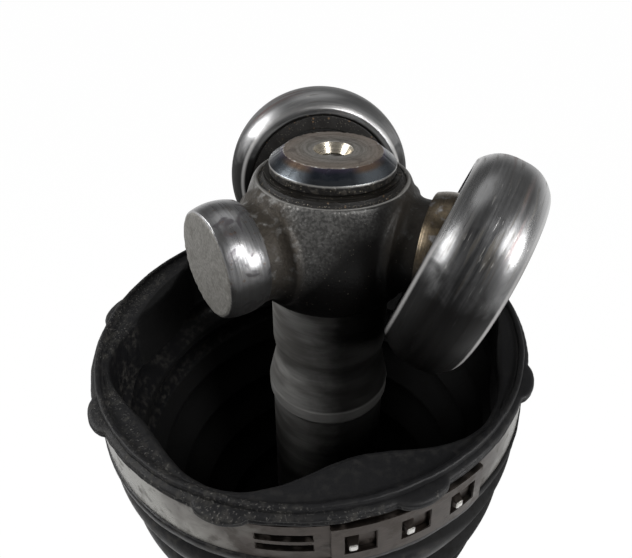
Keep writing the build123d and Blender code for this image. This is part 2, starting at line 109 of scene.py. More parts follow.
def lathe(profile: np.ndarray, steps: int = 144, ripple: Callable | None = None) -> Shape:
    """Turns a closed outline about Z.

    Args:
        profile: Closed outline as (radius, height) rows.
        steps: Columns round the axis.
        ripple: Takes the radii, heights and azimuths as grids, and returns changed radii and heights.

    Returns:
        The closed surface.
    """
    turn = np.linspace(0, 2 * pi, steps, endpoint=False)[None, :]
    radius = profile[:, 0][:, None] + 0 * turn
    height = profile[:, 1][:, None] + 0 * turn
    if ripple:
        radius, height = ripple(radius, height, turn + 0 * radius)
    return woven(turned_points(radius, turn, height))


def outline(*corners: Sequence[float], steps: int = 5) -> np.ndarray:
    """Closed outline with rounded corners.

    Args:
        corners: (radius, height) or (radius, height, rounding) of each corner.
        steps: Pieces that make each round.

    Returns:
        The outline's points as rows.
    """
    nearly_straight, most_of_edge = 0.98 * pi / 2, 0.49
    points = []
    for index, corner in enumerate(corners):
        here = np.array(corner[:2], float)
        back = np.array(corners[index - 1][:2], float) - here
        ahead = np.array(corners[(index + 1) % len(corners)][:2], float) - here
        back_length, ahead_length = np.linalg.norm(back), np.linalg.norm(ahead)
        if len(corner) == 2 or min(back_length, ahead_length) == 0:
            points.append(here)
            continue
        back, ahead = back / back_length, ahead / ahead_length
        half = acos(float(np.clip(back @ ahead, -1, 1))) / 2
        if half > nearly_straight:
            points.append(here)
            continue
        cut = min(corner[2] / tan(half), most_of_edge * back_length, most_of_edge * ahead_length)
        centre = here + (back + ahead) / np.linalg.norm(back + ahead) * cut / cos(half)
        first, last = here + back * cut - centre, here + ahead * cut - centre
        start = atan2(first[1], first[0])
        sweep = (atan2(last[1], last[0]) - start + pi) % (2 * pi) - pi
        for step in range(steps + 1):
            angle = start + sweep * step / steps
            points.append(centre + np.linalg.norm(first) * np.array([cos(angle), sin(angle)]))
    return np.array(points)


def bow(edge: float, middle: float, half: float, steps: int = 24) -> list[tuple[float, float]]:
    """Points of an arc that bulges outwards, from (edge, -half) by (middle, 0) to (edge, half)."""
    rise = middle - edge
    radius = (half**2 + rise**2) / (2 * rise)
    heights = [half * sin(pi * (step / steps - 0.5)) for step in range(steps + 1)]
    return [(middle - radius + sqrt(radius**2 - z**2), z) for z in heights]


def globe(radius: float, low: float, high: float, steps: int = 20) -> list[tuple[float, float]]:
    """Points of a sphere's outline from one height to another."""
    first, last = acos(low / radius), acos(high / radius)
    angles = [first + (last - first) * step / steps for step in range(steps + 1)]
    return [(radius * sin(angle), radius * cos(angle)) for angle in angles]


def grain(points: np.ndarray, size: float, seed: int) -> np.ndarray:
    """Smooth random values between about -1 and 1, from a sum of a few random waves.

    Args:
        points: Places in millimetres, as rows of three.
        size: Rough length of the waves.
        seed: Fixes the waves.

    Returns:
        One value for each point.
    """
    waves, strength, lengths = 14, 0.25, (0.5, 1.8)
    source = np.random.default_rng(seed)
    value = np.zeros(points.shape[:-1])
    for _ in range(waves):
        way = source.normal(size=3)
        wave = 2 * pi / size * source.uniform(*lengths) * way / np.linalg.norm(way)
        value += np.sin(points @ wave + source.uniform(0, 2 * pi))
    return value * strength


def turned_to(azimuth: float) -> Matrix:
    """Turn about Z."""
    return Matrix.Rotation(radians(azimuth), 4, "Z")


def raised(height: float) -> Matrix:
    """Move along Z."""
    return Matrix.Translation((0, 0, height))


@dataclass
class Strip:
    """A curved band of sheet with rectangular holes, made of cells between breaks."""

    radius: float
    thickness: float
    low: float
    width: float
    start: float
    sweep: float

    def shape(self, holes: Sequence[tuple[float, float, float, float]], step: float = 2.5) -> Shape:
        """Builds the band.

        Args:
            holes: (first angle, last angle, first height, last height) of each hole, in the band's own
                angles from its start and heights from its low edge.
            step: Largest angle of a cell.

        Returns:
            The closed surface of the band.
        """
        closed = self.sweep >= 360
        angles = set(np.linspace(0, self.sweep, int(self.sweep / step) + 1).round(4))
        angles |= {round(a, 4) for hole in holes for a in hole[:2]}
        angles = sorted(angles)
        heights = sorted({0, self.width} | {z for hole in holes for z in hole[2:]})
        columns, rows = len(angles) - 1, len(heights) - 1
        kept = np.ones((columns, rows), bool)
        way, up = (np.array(edges[:-1]) / 2 + np.array(edges[1:]) / 2 for edges in (angles, heights))
        for first, last, low, high in holes:
            kept[np.ix_((first < way) & (way < last), (low < up) & (up < high))] = False
        turn = np.radians(np.array(angles) + self.start)
        layers = [self.radius, self.radius + self.thickness]
        points = [(r * cos(a), r * sin(a), self.low + z) for r in layers for a in turn for z in heights]
        count = len(angles) * len(heights)

        def corner(layer: int, i: int, j: int) -> int:
            """Number of one corner."""
            return layer * count + i * len(heights) + j

        def solid(i: int, j: int) -> bool:
            """Whether a cell is there."""
            i = i % columns if closed else i
            return 0 <= i < columns and 0 <= j < rows and bool(kept[i, j])

        faces = []
        for i in range(columns):
            for j in range(rows):
                if not kept[i, j]:
                    continue
                ring = [(i, j), (i + 1, j), (i + 1, j + 1), (i, j + 1)]
                faces.append(tuple(corner(1, *c) for c in ring))
                faces.append(tuple(corner(0, *c) for c in reversed(ring)))
                for side, beside in enumerate([(i, j - 1), (i + 1, j), (i, j + 1), (i - 1, j)]):
                    if not solid(*beside):
                        a, b = ring[side], ring[(side + 1) % 4]
                        faces.append((corner(0, *a), corner(0, *b), corner(1, *b), corner(1, *a)))
        return Shape(np.array(points), faces)


def block(size: Sequence[float], centre: Sequence[float], taper: float = 1.0) -> Shape:
    """Box along the axes, whose +X face is smaller by a factor."""
    points = np.array([(x, y, z) for x in (-0.5, 0.5) for y in (-0.5, 0.5) for z in (-0.5, 0.5)])
    points[4:, 1:] *= taper
    faces = [(0, 1, 3, 2), (4, 6, 7, 5), (0, 4, 5, 1), (2, 3, 7, 6), (0, 2, 6, 4), (1, 5, 7, 3)]
    return Shape(points * np.array(size) + np.array(centre), faces)


class Body(Enum):
    """Bodies of the frame that pieces ride on."""

    AXLE = "axle"
    BELL = "bell"
    CAGE = "cage"


MERGED, SLIVER = 0.0005 * MM, 0.0002 * MM
CAD_MERGED = 0.001 * MM
BEVELLED_FROM = radians(50)


@contextmanager
def opened(mesh: bpy.types.Mesh) -> Iterator[bmesh.types.BMesh]:
    """Opens a mesh for changes, and writes them back at the end."""
    work = bmesh.new()
    work.from_mesh(mesh)
    yield work
    work.to_mesh(mesh)
    work.free()


def linked(name: str, data: bpy.types.ID) -> bpy.types.Object:
    """Object of this data, in the scene."""
    thing = bpy.data.objects.new(name, data)
    bpy.context.scene.collection.objects.link(thing)
    return thing


def smoothed(mesh: bpy.types.Mesh, crease: float) -> None:
    """Shades a mesh smooth, apart from its edges above an angle."""
    mesh.shade_smooth()
    mesh.set_sharp_from_angle(angle=radians(crease))


def mesh_piece(name: str, shape: Shape, bevel: float = 0.0, crease: float = 38.0) -> bpy.types.Object:
    """Makes an object of a closed surface.

    Args:
        name: The object's name.
        shape: Its surface.
        bevel: Width of the bevel along its sharp edges.
        crease: Angle above which an edge stays sharp.

    Returns:
        The object, at the origin.
    """
    mesh = bpy.data.meshes.new(name)
    mesh.from_pydata((shape.points * MM).tolist(), [], shape.faces)
    with opened(mesh) as work:
        bmesh.ops.remove_doubles(work, verts=work.verts, dist=MERGED)
        bmesh.ops.dissolve_degenerate(work, edges=work.edges, dist=SLIVER)
        if bevel:
            sharp = [e for e in work.edges if len(e.link_faces) == 2 and e.calc_face_angle(0) > BEVELLED_FROM]
            bmesh.ops.bevel(work, geom=sharp, offset=bevel * MM, segments=2, affect="EDGES")
        bmesh.ops.recalc_face_normals(work, faces=work.faces)
    smoothed(mesh, crease)
    return linked(name, mesh)


def seamless(node: str, name: str, crease: float = 32.0) -> bpy.types.Object:
    """Copy of a CAD node with its points merged and its round faces smooth."""
    piece = linked(name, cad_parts[node].data.copy())
    with opened(piece.data) as work:
        bmesh.ops.remove_doubles(work, verts=work.verts, dist=CAD_MERGED)
    smoothed(piece.data, crease)
    return piece


def fitted(piece: bpy.types.Object, finish: "Finish", body: str, *nodes: str) -> None:
    """Paints a piece, lets it ride on a body and stand for CAD nodes.

    Args:
        piece: The piece in its place.
        finish: What it is painted with.
        body: The body that carries it.
        nodes: The CAD nodes that it stands for.
    """
    piece.data.materials.clear()
    piece.data.materials.append(finish.material())
    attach(piece, body)
    if nodes:
        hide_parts(*nodes)
    log.info("%s: %d faces", piece.name, len(piece.data.polygons))


# Node graphs


class Wire:
    """A socket's value, on which Python's operators add Math nodes."""

    def __init__(self, graph: "Graph", socket: bpy.types.NodeSocket) -> None:
        """Wraps a socket of a graph."""
        self.graph = graph
        self.socket = socket

    def maths(self, operation: str, *values: "Wire | float", clamp: bool = False) -> "Wire":
        """Adds one Math node over these values."""
        settings = {"operation": operation, "use_clamp": clamp}
        return self.graph.wire("ShaderNodeMath", settings, dict(enumerate(values)))

    def __add__(self, other: "Wire | float") -> "Wire":
        """Sum."""
        return self.maths("ADD", self, other)

    def __sub__(self, other: "Wire | float") -> "Wire":
        """Difference."""
        return self.maths("SUBTRACT", self, other)

    def __rsub__(self, other: float) -> "Wire":
        """Difference from a number."""
        return self.maths("SUBTRACT", other, self)

    def __mul__(self, other: "Wire | float") -> "Wire":
        """Product."""
        return self.maths("MULTIPLY", self, other)

    def __truediv__(self, other: "Wire | float") -> "Wire":
        """Quotient."""
        return self.maths("DIVIDE", self, other)

    def __pow__(self, other: float) -> "Wire":
        """Power."""
        return self.maths("POWER", self, other)

    def __abs__(self) -> "Wire":
        """Size without sign."""
        return self.maths("ABSOLUTE", self)

    __radd__ = __add__
    __rmul__ = __mul__

    def over(self, edge: float, soft: float) -> "Wire":
        """0 below an edge and 1 above it, with a smooth step of this half width."""
        settings = {"interpolation_type": "SMOOTHSTEP"}
        ends = {"Value": self, "From Min": edge - soft, "From Max": edge + soft}
        return self.graph.wire("ShaderNodeMapRange", settings, ends)

    def within(self, low: float, high: float, soft: float) -> "Wire":
        """1 between two values and 0 outside them."""
        return self.over(low, soft) * (1 - self.over(high, soft))

    def clamped(self) -> "Wire":
        """Kept between 0 and 1."""
        return self.maths("ADD", self, 0.0, clamp=True)


class Graph:
    """A node tree that is built by its own few methods."""

    def __init__(self, tree: bpy.types.NodeTree) -> None:
        """Keeps the tree."""
        self.tree = tree

    def node(self, kind: str, settings: dict | None = None, sockets: dict | None = None) -> bpy.types.Node:
        """Adds a node.

        Args:
            kind: The node's type.
            settings: Properties of the node, which are set first.
            sockets: Values or wires of its inputs, by number, identifier or name.

        Returns:
            The node.
        """
        node = self.tree.nodes.new(kind)
        for name, value in (settings or {}).items():
            setattr(node, name, value)
        for key, value in (sockets or {}).items():
            self.feed(self.find(node.inputs, key), value)
        return node

    def find(self, sockets: Sequence, key: int | str) -> bpy.types.NodeSocket:
        """Socket of this number, identifier or name."""
        if isinstance(key, int):
            return sockets[key]
        exact = [s for s in sockets if s.identifier == key]
        return (exact or [s for s in sockets if s.name == key])[0]

    def feed(self, socket: bpy.types.NodeSocket, value: object) -> None:
        """Links a wire to a socket, or sets the socket's own value."""
        if isinstance(value, Wire):
            self.tree.links.new(value.socket, socket)
        else:
            socket.default_value = value

    def wire(self, kind: str, settings: dict | None = None, sockets: dict | None = None, out: int | str = 0) -> Wire:
        """Adds a node and returns one of its outputs."""
        return Wire(self, self.find(self.node(kind, settings, sockets).outputs, out))


class Recipe(Graph):
    """One material's nodes, with patterns measured in millimetres."""

    def __init__(self, name: str, place: Matrix | None = None) -> None:
        """Makes the material and its coordinates, which are those of a place if one is given."""
        self.material = bpy.data.materials.new(name)
        self.material.use_nodes = True
        super().__init__(self.material.node_tree)
        self.tree.nodes.clear()
        self.shader = self.node("ShaderNodeBsdfPrincipled")
        sheet = self.node("ShaderNodeOutputMaterial")
        self.tree.links.new(self.shader.outputs[0], sheet.inputs[0])
        self.spot = self.wire("ShaderNodeTexCoord", out="Object")
        if place:
            settings = {"vector_type": "TEXTURE"}
            ends = {"Location": place.translation * MM, "Rotation": place.to_euler(), "Vector": self.spot}
            self.spot = self.wire("ShaderNodeMapping", settings, ends)
        self.spot = self.stretched(self.spot, (1 / MM, 1 / MM, 1 / MM))
        split = self.node("ShaderNodeSeparateXYZ", sockets={0: self.spot})
        self.x, self.y, self.z = (Wire(self, s) for s in split.outputs)
        self.radius = (self.x**2 + self.y**2) ** 0.5

    def stretched(self, vector: Wire, factors: Place) -> Wire:
        """Vector multiplied part by part."""
        return self.wire("ShaderNodeVectorMath", {"operation": "MULTIPLY"}, {0: vector, 1: factors})

    def joined(self, x: Wire | float, y: Wire | float, z: Wire | float) -> Wire:
        """Vector of three values."""
        return self.wire("ShaderNodeCombineXYZ", sockets={0: x, 1: y, 2: z})

    def toward(self, azimuth: float) -> Wire:
        """Distance from the Z axis in the direction of an azimuth."""
        return self.x * cos(radians(azimuth)) + self.y * sin(radians(azimuth))

    def noise(self, size: float, detail: float = 3.0, vector: Wire | None = None, warp: float = 0.0) -> Wire:
        """Soft noise around 0.5, with patches of this size in millimetres."""
        ends = {"Vector": vector or self.spot, "Scale": 1 / size, "Detail": detail, "Distortion": warp}
        return self.wire("ShaderNodeTexNoise", sockets=ends)

    def cells(self, size: float, feature: str = "F1", vector: Wire | None = None) -> Wire:
        """Distance in a pattern of cells of this size."""
        ends = {"Vector": vector or self.spot, "Scale": 1 / size}
        return self.wire("ShaderNodeTexVoronoi", {"feature": feature}, ends, out="Distance")

    def specks(self, size: float, share: float) -> Wire:
        """Scattered round specks of about this size, on about this share of the cells."""
        ends = {"Vector": self.spot, "Scale": 1 / size}
        node = self.node("ShaderNodeTexVoronoi", {"feature": "F1"}, ends)
        tint = self.node("ShaderNodeSeparateXYZ", sockets={0: Wire(self, self.find(node.outputs, "Color"))})
        chosen = 1 - Wire(self, tint.outputs[0]).over(share, 0.02)
        return (1 - Wire(self, self.find(node.outputs, "Distance")).over(0.3, 0.12)) * chosen

    def rings(self, size: float, spread: float = 14.0, detail: float = 2.0) -> Wire:
        """Turning marks: noise drawn out round the Z axis, on ends and sides alike."""
        way = self.joined(self.x / spread, self.y / spread, self.z + self.radius)
        return self.noise(size, detail, way)

    def shade(self, factor: Wire | float, low: "Wire | Colour", high: "Wire | Colour") -> Wire:
        """Colour mixed between two."""
        ends = {"Factor_Float": factor}
        for key, value in (("A_Color", low), ("B_Color", high)):
            ends[key] = value if isinstance(value, Wire) else (*value, 1.0)
        return self.wire("ShaderNodeMix", {"data_type": "RGBA"}, ends, out="Result_Color")

    def laid(self, tone: "Wire | Colour", *layers: tuple[Wire, "Wire | Colour"]) -> Wire:
        """Colour with layers of (factor, colour) laid over it in order."""
        for factor, paint in layers:
            tone = self.shade(factor, tone, paint)
        return tone

    def ramp(self, factor: Wire, *stops: tuple[float, Colour]) -> Wire:
        """Colour that runs through several stops."""
        colour = stops[0][1]
        for (start, _), (end, paint) in zip(stops, stops[1:]):
            colour = self.shade(factor.over((start + end) / 2, (end - start) / 2), colour, paint)
        return colour

    def surface(self, **values: "Wire | float | Colour") -> None:
        """Feeds the shader's sockets, whose spaces are underscores here."""
        for name, value in values.items():
            if isinstance(value, tuple):
                value = (*value, 1.0)
            self.feed(self.shader.inputs[name.replace("_", " ").title().replace("Ior", "IOR")], value)

    def relief(self, *layers: tuple[Wire, float]) -> None:
        """Bump from layers of (height between 0 and 1, depth in millimetres)."""
        height = None
        for value, depth in layers:
            part = value * depth
            height = part if height is None else height + part
        bump = self.wire("ShaderNodeBump", sockets={"Height": height, "Distance": MM, "Strength": 1.0})
        self.feed(self.shader.inputs["Normal"], bump)


# Finishes


@dataclass(frozen=True)
class Finish:
    """What a piece is painted with. Colours are linear, and a pair runs from dark to light."""

    name: str
    slot: str
    place: Matrix | None = None

    def material(self) -> bpy.types.Material:
        """The finish as a material."""
        recipe = Recipe(self.name, self.place)
        self.paint(recipe)
        return recipe.material

    def paint(self, recipe: Recipe) -> None:
        """Fills the recipe. Each kind of finish has its own."""
        raise NotImplementedError


@dataclass(frozen=True)
class TurnedSteel(Finish):
    """Steel that was turned round its Z axis, with an oily film and small stains."""

    tone: Colour = (0.34, 0.34, 0.34)
    stain: Colour = (0.09, 0.075, 0.06)
    stained: float = 0.35
    roughness: float = 0.3
    marks: float = 0.008
    metallic: float = 0.95
    contrast: Span = (0.72, 1.25)

    def paint(self, recipe: Recipe) -> None:
        """Turning marks, patches of film, stains and small pits."""
        marks, fine = recipe.rings(0.35), recipe.rings(0.09, 30.0)
        patches = recipe.noise(5.0, 5.0, warp=0.6).over(0.44 + 0.3 * (0.5 - self.stained), 0.16)
        pits = recipe.specks(0.8, 0.12)
        bare = recipe.shade(marks, *(tuple(share * part for part in self.tone) for share in self.contrast))
        tone = recipe.laid(bare, (patches * self.stained, self.stain), (pits * 0.6, self.stain))
        roughness = self.roughness + 0.16 * (marks - 0.5) + 0.22 * patches * self.stained
        recipe.surface(base_color=tone, metallic=self.metallic, roughness=roughness.clamped())
        recipe.relief((marks, self.marks), (fine, self.marks * 0.5), (pits, -0.02))


@dataclass(frozen=True)
class BarSteel(Finish):
    """The shaft bar: turned end, tinted chamfer with painted glints, gritty groove, worn seats, a black middle, and
    painted shade on one side under the hub.
    """

    end: float = 15.7
    chamfer: float = 13.6
    hub: float = -11.0
    coated: Span = (-266.0, -124.0)
    # Heights between which the bar's +X side is laid dark as painted shade.
    side_shade_span: Span = (-60.0, -11.0)
    ring: Span = (-39.6, -36.2)
    hole: float = 4.6
    brushed: Pair = ((0.34, 0.336, 0.325), (0.62, 0.612, 0.59))
    rubbed: Pair = ((0.5, 0.49, 0.47), (0.75, 0.74, 0.72))
    coating: Pair = ((0.012, 0.012, 0.013), (0.03, 0.03, 0.031))
    grit: Pair = ((0.012, 0.011, 0.01), (0.045, 0.04, 0.033))
    # Colours of the painted glints on the chamfer, and of the centre hole's metal with its painted glints.
    painted_glint_tones: Pair = ((0.36, 0.4, 0.44), (0.4, 0.27, 0.17))
    hole_metal_and_glints: Pair = ((0.3, 0.26, 0.2), (0.8, 0.74, 0.62))
    faced: Pair = ((0.22, 0.205, 0.185), (0.36, 0.345, 0.32))
    heat: tuple[tuple[float, Colour], ...] = (
        (13.6, (0.02, 0.024, 0.03)), (14.8, (0.03, 0.037, 0.05)), (15.6, (0.09, 0.075, 0.12)))

    def paint(self, recipe: Recipe) -> None:
        """Lays each length's look over the next by height and radius."""
        z = recipe.z
        marks, fine = recipe.rings(0.3), recipe.rings(0.08, 40.0)
        soft = recipe.noise(3.2, 4.0, warp=0.5)
        grime = recipe.noise(1.1, 5.0).over(0.56, 0.1)
        black = z.within(*self.coated, 1.2)
        chips = recipe.noise(2.2, 6.0).over(0.66, 0.02)
        rust, black = chips * black, black * (1 - chips * 0.9)
        groove = z.within(self.hub, self.chamfer - 0.25, 0.2)
        body = self.length(recipe, marks, soft)
        body = recipe.laid(
            body, (black, recipe.shade(soft, *self.coating)), (rust, (0.16, 0.062, 0.03)),
            (groove, recipe.shade(grime, *self.grit)), (recipe.specks(0.3, 0.12) * groove, (0.3, 0.27, 0.2)))
        polished, face = z.over(self.chamfer, 0.1), z.over(self.end - 0.12, 0.05)
        tone = recipe.laid(
            body, (polished, self.slope(recipe, marks, soft)), (face, self.end_face(recipe, soft)))
        dull = 0.46 + 0.12 * (marks - 0.5) + 0.16 * groove + 0.06 * black
        dull = dull - 0.24 * polished * (1 - face) + 0.1 * soft
        metal = 0.88 * (1 - 0.85 * black) * (1 - 0.5 * groove) * (1 - 0.6 * rust)
        recipe.surface(base_color=tone, metallic=metal.clamped(), roughness=dull.clamped())
        recipe.relief((marks, 0.02), (fine, 0.008), (grime * groove, 0.12), (black, 0.05))

    def length(self, recipe: Recipe, marks: Wire, soft: Wire) -> Wire:
        """Brushed bar with its dirt, painted shade on its +X side under the hub, and the rubbed ring."""
        drawn = recipe.noise(3.0, 2.0, recipe.joined(recipe.x * 0.25, recipe.y * 0.25, recipe.z))
        # Painted shade: the bar's +X side under the hub is laid near black.
        side_shade = (recipe.x + 5 * (soft - 0.5)).over(-1.5, 5.5) * recipe.z.within(*self.side_shade_span, 2.0)
        return recipe.laid(
            recipe.shade(marks, *self.brushed), (drawn.over(0.52, 0.2) * 0.6, (0.1, 0.09, 0.08)),
            (side_shade * 0.92, (0.012, 0.0115, 0.011)),
            (recipe.z.within(*self.ring, 0.3) * (1 - side_shade * 0.7), recipe.shade(marks, *self.rubbed)))

    def slope(self, recipe: Recipe, marks: Wire, soft: Wire) -> Wire:
        """Chamfer with its heat tint and painted glints at both sides, and the centre hole inside it, laid light as
        metal with painted glints.
        """
        z, side = recipe.z, recipe.x / (recipe.radius + 0.1)
        # Painted highlights: light glints at the chamfer's left and right.
        glow = (abs(side) - 0.05 * marks).within(0.4, 0.8, 0.14)
        return recipe.laid(
            recipe.ramp(z + 0.8 * (soft - 0.5), *self.heat),
            (marks.over(0.52, 0.14) * 0.25, (0.15, 0.16, 0.17)),
            (glow * 0.6, recipe.shade(z.over(14.9, 0.3), *self.painted_glint_tones)),
            # Painted highlight, in part: the centre hole is laid light and warm for its glints.
            (1 - recipe.radius.over(self.hole, 0.3), recipe.shade(marks, *self.hole_metal_and_glints)))

    def end_face(self, recipe: Recipe, soft: Wire) -> Wire:
        """Turned end face: rings, a warm rim, pits, bright nicks and a soft stain."""
        ragged = (recipe.radius + 1.5 * (recipe.noise(0.6, 4.0) - 0.5)).over(8.85, 0.08)
        return recipe.laid(
            recipe.shade(recipe.rings(0.5, 10.0, 4.0).over(0.5, 0.14), *self.faced),
            (recipe.radius.over(6.4, 2.4) * 0.5, (0.3, 0.23, 0.18)),
            (recipe.noise(0.35, 4.0).over(0.6, 0.05) * 0.4, (0.06, 0.052, 0.045)),
            (ragged * recipe.noise(1.7, 3.0).over(0.5, 0.05), self.rubbed[1]),
            (soft.over(0.6, 0.08) * 0.5, (0.1, 0.08, 0.07)))


@dataclass(frozen=True)
class CastSteel(Finish):
    """Forged, shot-blasted steel with worn light specks, brown grime, black grease, and painted light and shade."""

    azimuths: tuple[float, float, float] = (217.1, 337.1, 97.1)
    # Distance along each trunnion where the grime and painted shade of its neck begin.
    neck: float = 13.3
    # Azimuth of the side that is laid black, as grease and painted shade.
    grease_and_shade_azimuth: float = -38.0
    shadow: Pair = ((0.072, 0.071, 0.069), (0.17, 0.168, 0.162))
    light: Pair = ((0.2, 0.197, 0.19), (0.46, 0.45, 0.43))
    brown: Pair = ((0.02, 0.017, 0.014), (0.065, 0.055, 0.043))

    def paint(self, recipe: Recipe) -> None:
        """Pebbly skin with painted light at the upper left, then grime and painted shade along each trunnion, grease
        and painted shade towards one side and below, and a painted highlight on the rim's edge.
        """
        pebbles, fine = recipe.cells(0.62), recipe.cells(0.3)
        skin = recipe.noise(0.5, 5.0)
        broad = recipe.noise(6.0, 3.0, warp=0.4)
        worn = (skin * (1 - pebbles)).over(0.47, 0.1)
        # Painted light: the hub's upper left is laid lighter than the rest of its skin.
        lit = (recipe.z - 0.7 * recipe.x + 4 * (broad - 0.5)).over(8.0, 9.0)
        # Brown grime round each neck, reaching in far enough to serve also as painted shade at the neck's root.
        neck_grime_and_shade = [(recipe.toward(azimuth) + 1.5 * (broad - 0.5)).over(self.neck, 1.2) for azimuth in self.azimuths]
        neck = (neck_grime_and_shade[0] + neck_grime_and_shade[1] + neck_grime_and_shade[2]).clamped()
        # Black grease and painted shade together, on the side towards one azimuth.
        black = (recipe.toward(self.grease_and_shade_azimuth) + 4 * (broad - 0.5) - 0.15 * recipe.z).over(10.0, 4.6)
        # Painted shade: the hub's lower half is laid near black.
        low = 1 - (recipe.z + 3 * (broad - 0.5)).over(0.0, 7.0)
        # Grease and painted shade in one mask, which is laid near black and loses its metal.
        grease = (black * (1 - neck_grime_and_shade[1] * 0.6) + low * 0.95).clamped()
        # Painted highlight: a light ring along the edge of the hub's top rim.
        edge = recipe.radius.within(13.3, 14.0, 0.12) * recipe.z.over(10.55, 0.1)
        tone = recipe.laid(
            recipe.shade(skin.over(0.52, 0.2), *self.shadow),
            (broad.over(0.55, 0.12) * 0.45, (0.05, 0.048, 0.045)), (worn * 0.4, (0.4, 0.395, 0.38)),
            (lit * 0.45, recipe.shade(skin.over(0.5, 0.2), *self.light)),
            (neck * recipe.noise(1.6, 4.0).over(0.36, 0.14), recipe.shade(recipe.noise(0.8, 4.0), *self.brown)),
            (grease, (0.007, 0.0066, 0.0064)), (recipe.specks(0.3, 0.03) * grease, (0.12, 0.11, 0.09)),
            (edge * 0.7, (0.42, 0.41, 0.39)))
        dull = 0.44 - 0.1 * worn + 0.14 * neck - 0.1 * grease + 0.12 * (skin - 0.5)
        metal = (0.9 - 0.55 * neck - 0.75 * grease).clamped()
        recipe.surface(base_color=tone, metallic=metal, roughness=dull.clamped(), specular_ior_level=0.25)
        bumpy = 1 - grease * 0.6
        recipe.relief((pebbles * bumpy, -0.05), (fine * bumpy, -0.03), (skin, 0.025))


@dataclass(frozen=True)
class GroundSteel(Finish):
    """A trunnion's spherical head: ground band with painted shade on its underside, and a forged flat end with a dark
    broken edge.
    """

    flat: float = 3.65
    dirty: float = 0.15
    ground: Pair = ((0.2, 0.2, 0.204), (0.4, 0.4, 0.404))
    brown: Pair = ((0.02, 0.015, 0.01), (0.2, 0.15, 0.085))
    forged: Pair = ((0.15, 0.144, 0.132), (0.27, 0.262, 0.242))

    def paint(self, recipe: Recipe) -> None:
        """Band and end, told apart by the distance along the head's own axis."""
        marks, fine = recipe.rings(0.4, 20.0), recipe.rings(0.1, 40.0)
        broad = recipe.noise(3.0, 4.0, warp=0.8)
        smear, spots = broad.over(0.6, 0.06), recipe.noise(0.45, 5.0)
        end = (recipe.z + 0.12 * (spots - 0.5)).over(self.flat, 0.05)
        forged = recipe.laid(
            recipe.shade(spots.over(0.5, 0.3), *self.forged),
            (recipe.noise(2.4, 5.0).over(0.62, 0.08) * 0.6, (0.12, 0.112, 0.1)))
        rim = (recipe.radius + 0.9 * (recipe.noise(0.9, 5.0) - 0.5)).over(9.45, 0.22)
        edge = rim * (recipe.z - 0.2 * spots).over(3.1, 0.16) * spots.over(0.42, 0.14)
        # Painted shade: the band's underside is laid near black and loses its metal.
        low = (recipe.x + 3.0 * (broad - 0.5)).over(-2.4, 3.0) * (1 - end)
        dirt = recipe.noise(1.6, 5.0).over(0.62 - 0.3 * self.dirty, 0.1) * self.dirty
        tone = recipe.laid(
            recipe.shade(marks, *self.ground), (smear * 0.7, (0.085, 0.075, 0.085)),
            (recipe.noise(1.2, 3.0).over(0.68, 0.05) * 0.6, (0.2, 0.13, 0.09)),
            (dirt, recipe.shade(spots, *self.brown)), (end, forged), (edge * 0.9, (0.035, 0.03, 0.028)),
            (low * 0.95, (0.006, 0.0056, 0.0052)))
        dull = 0.29 + 0.12 * (marks - 0.5) + 0.14 * smear + 0.3 * end + 0.1 * edge + 0.2 * low
        metal = (0.95 - 0.45 * end) * (1 - 0.8 * low)
        recipe.surface(base_color=tone, metallic=metal, roughness=dull.clamped(), specular_ior_level=0.3)
        recipe.relief((marks, 0.03), (fine, 0.012), (spots * end, 0.04), (edge, -0.08))


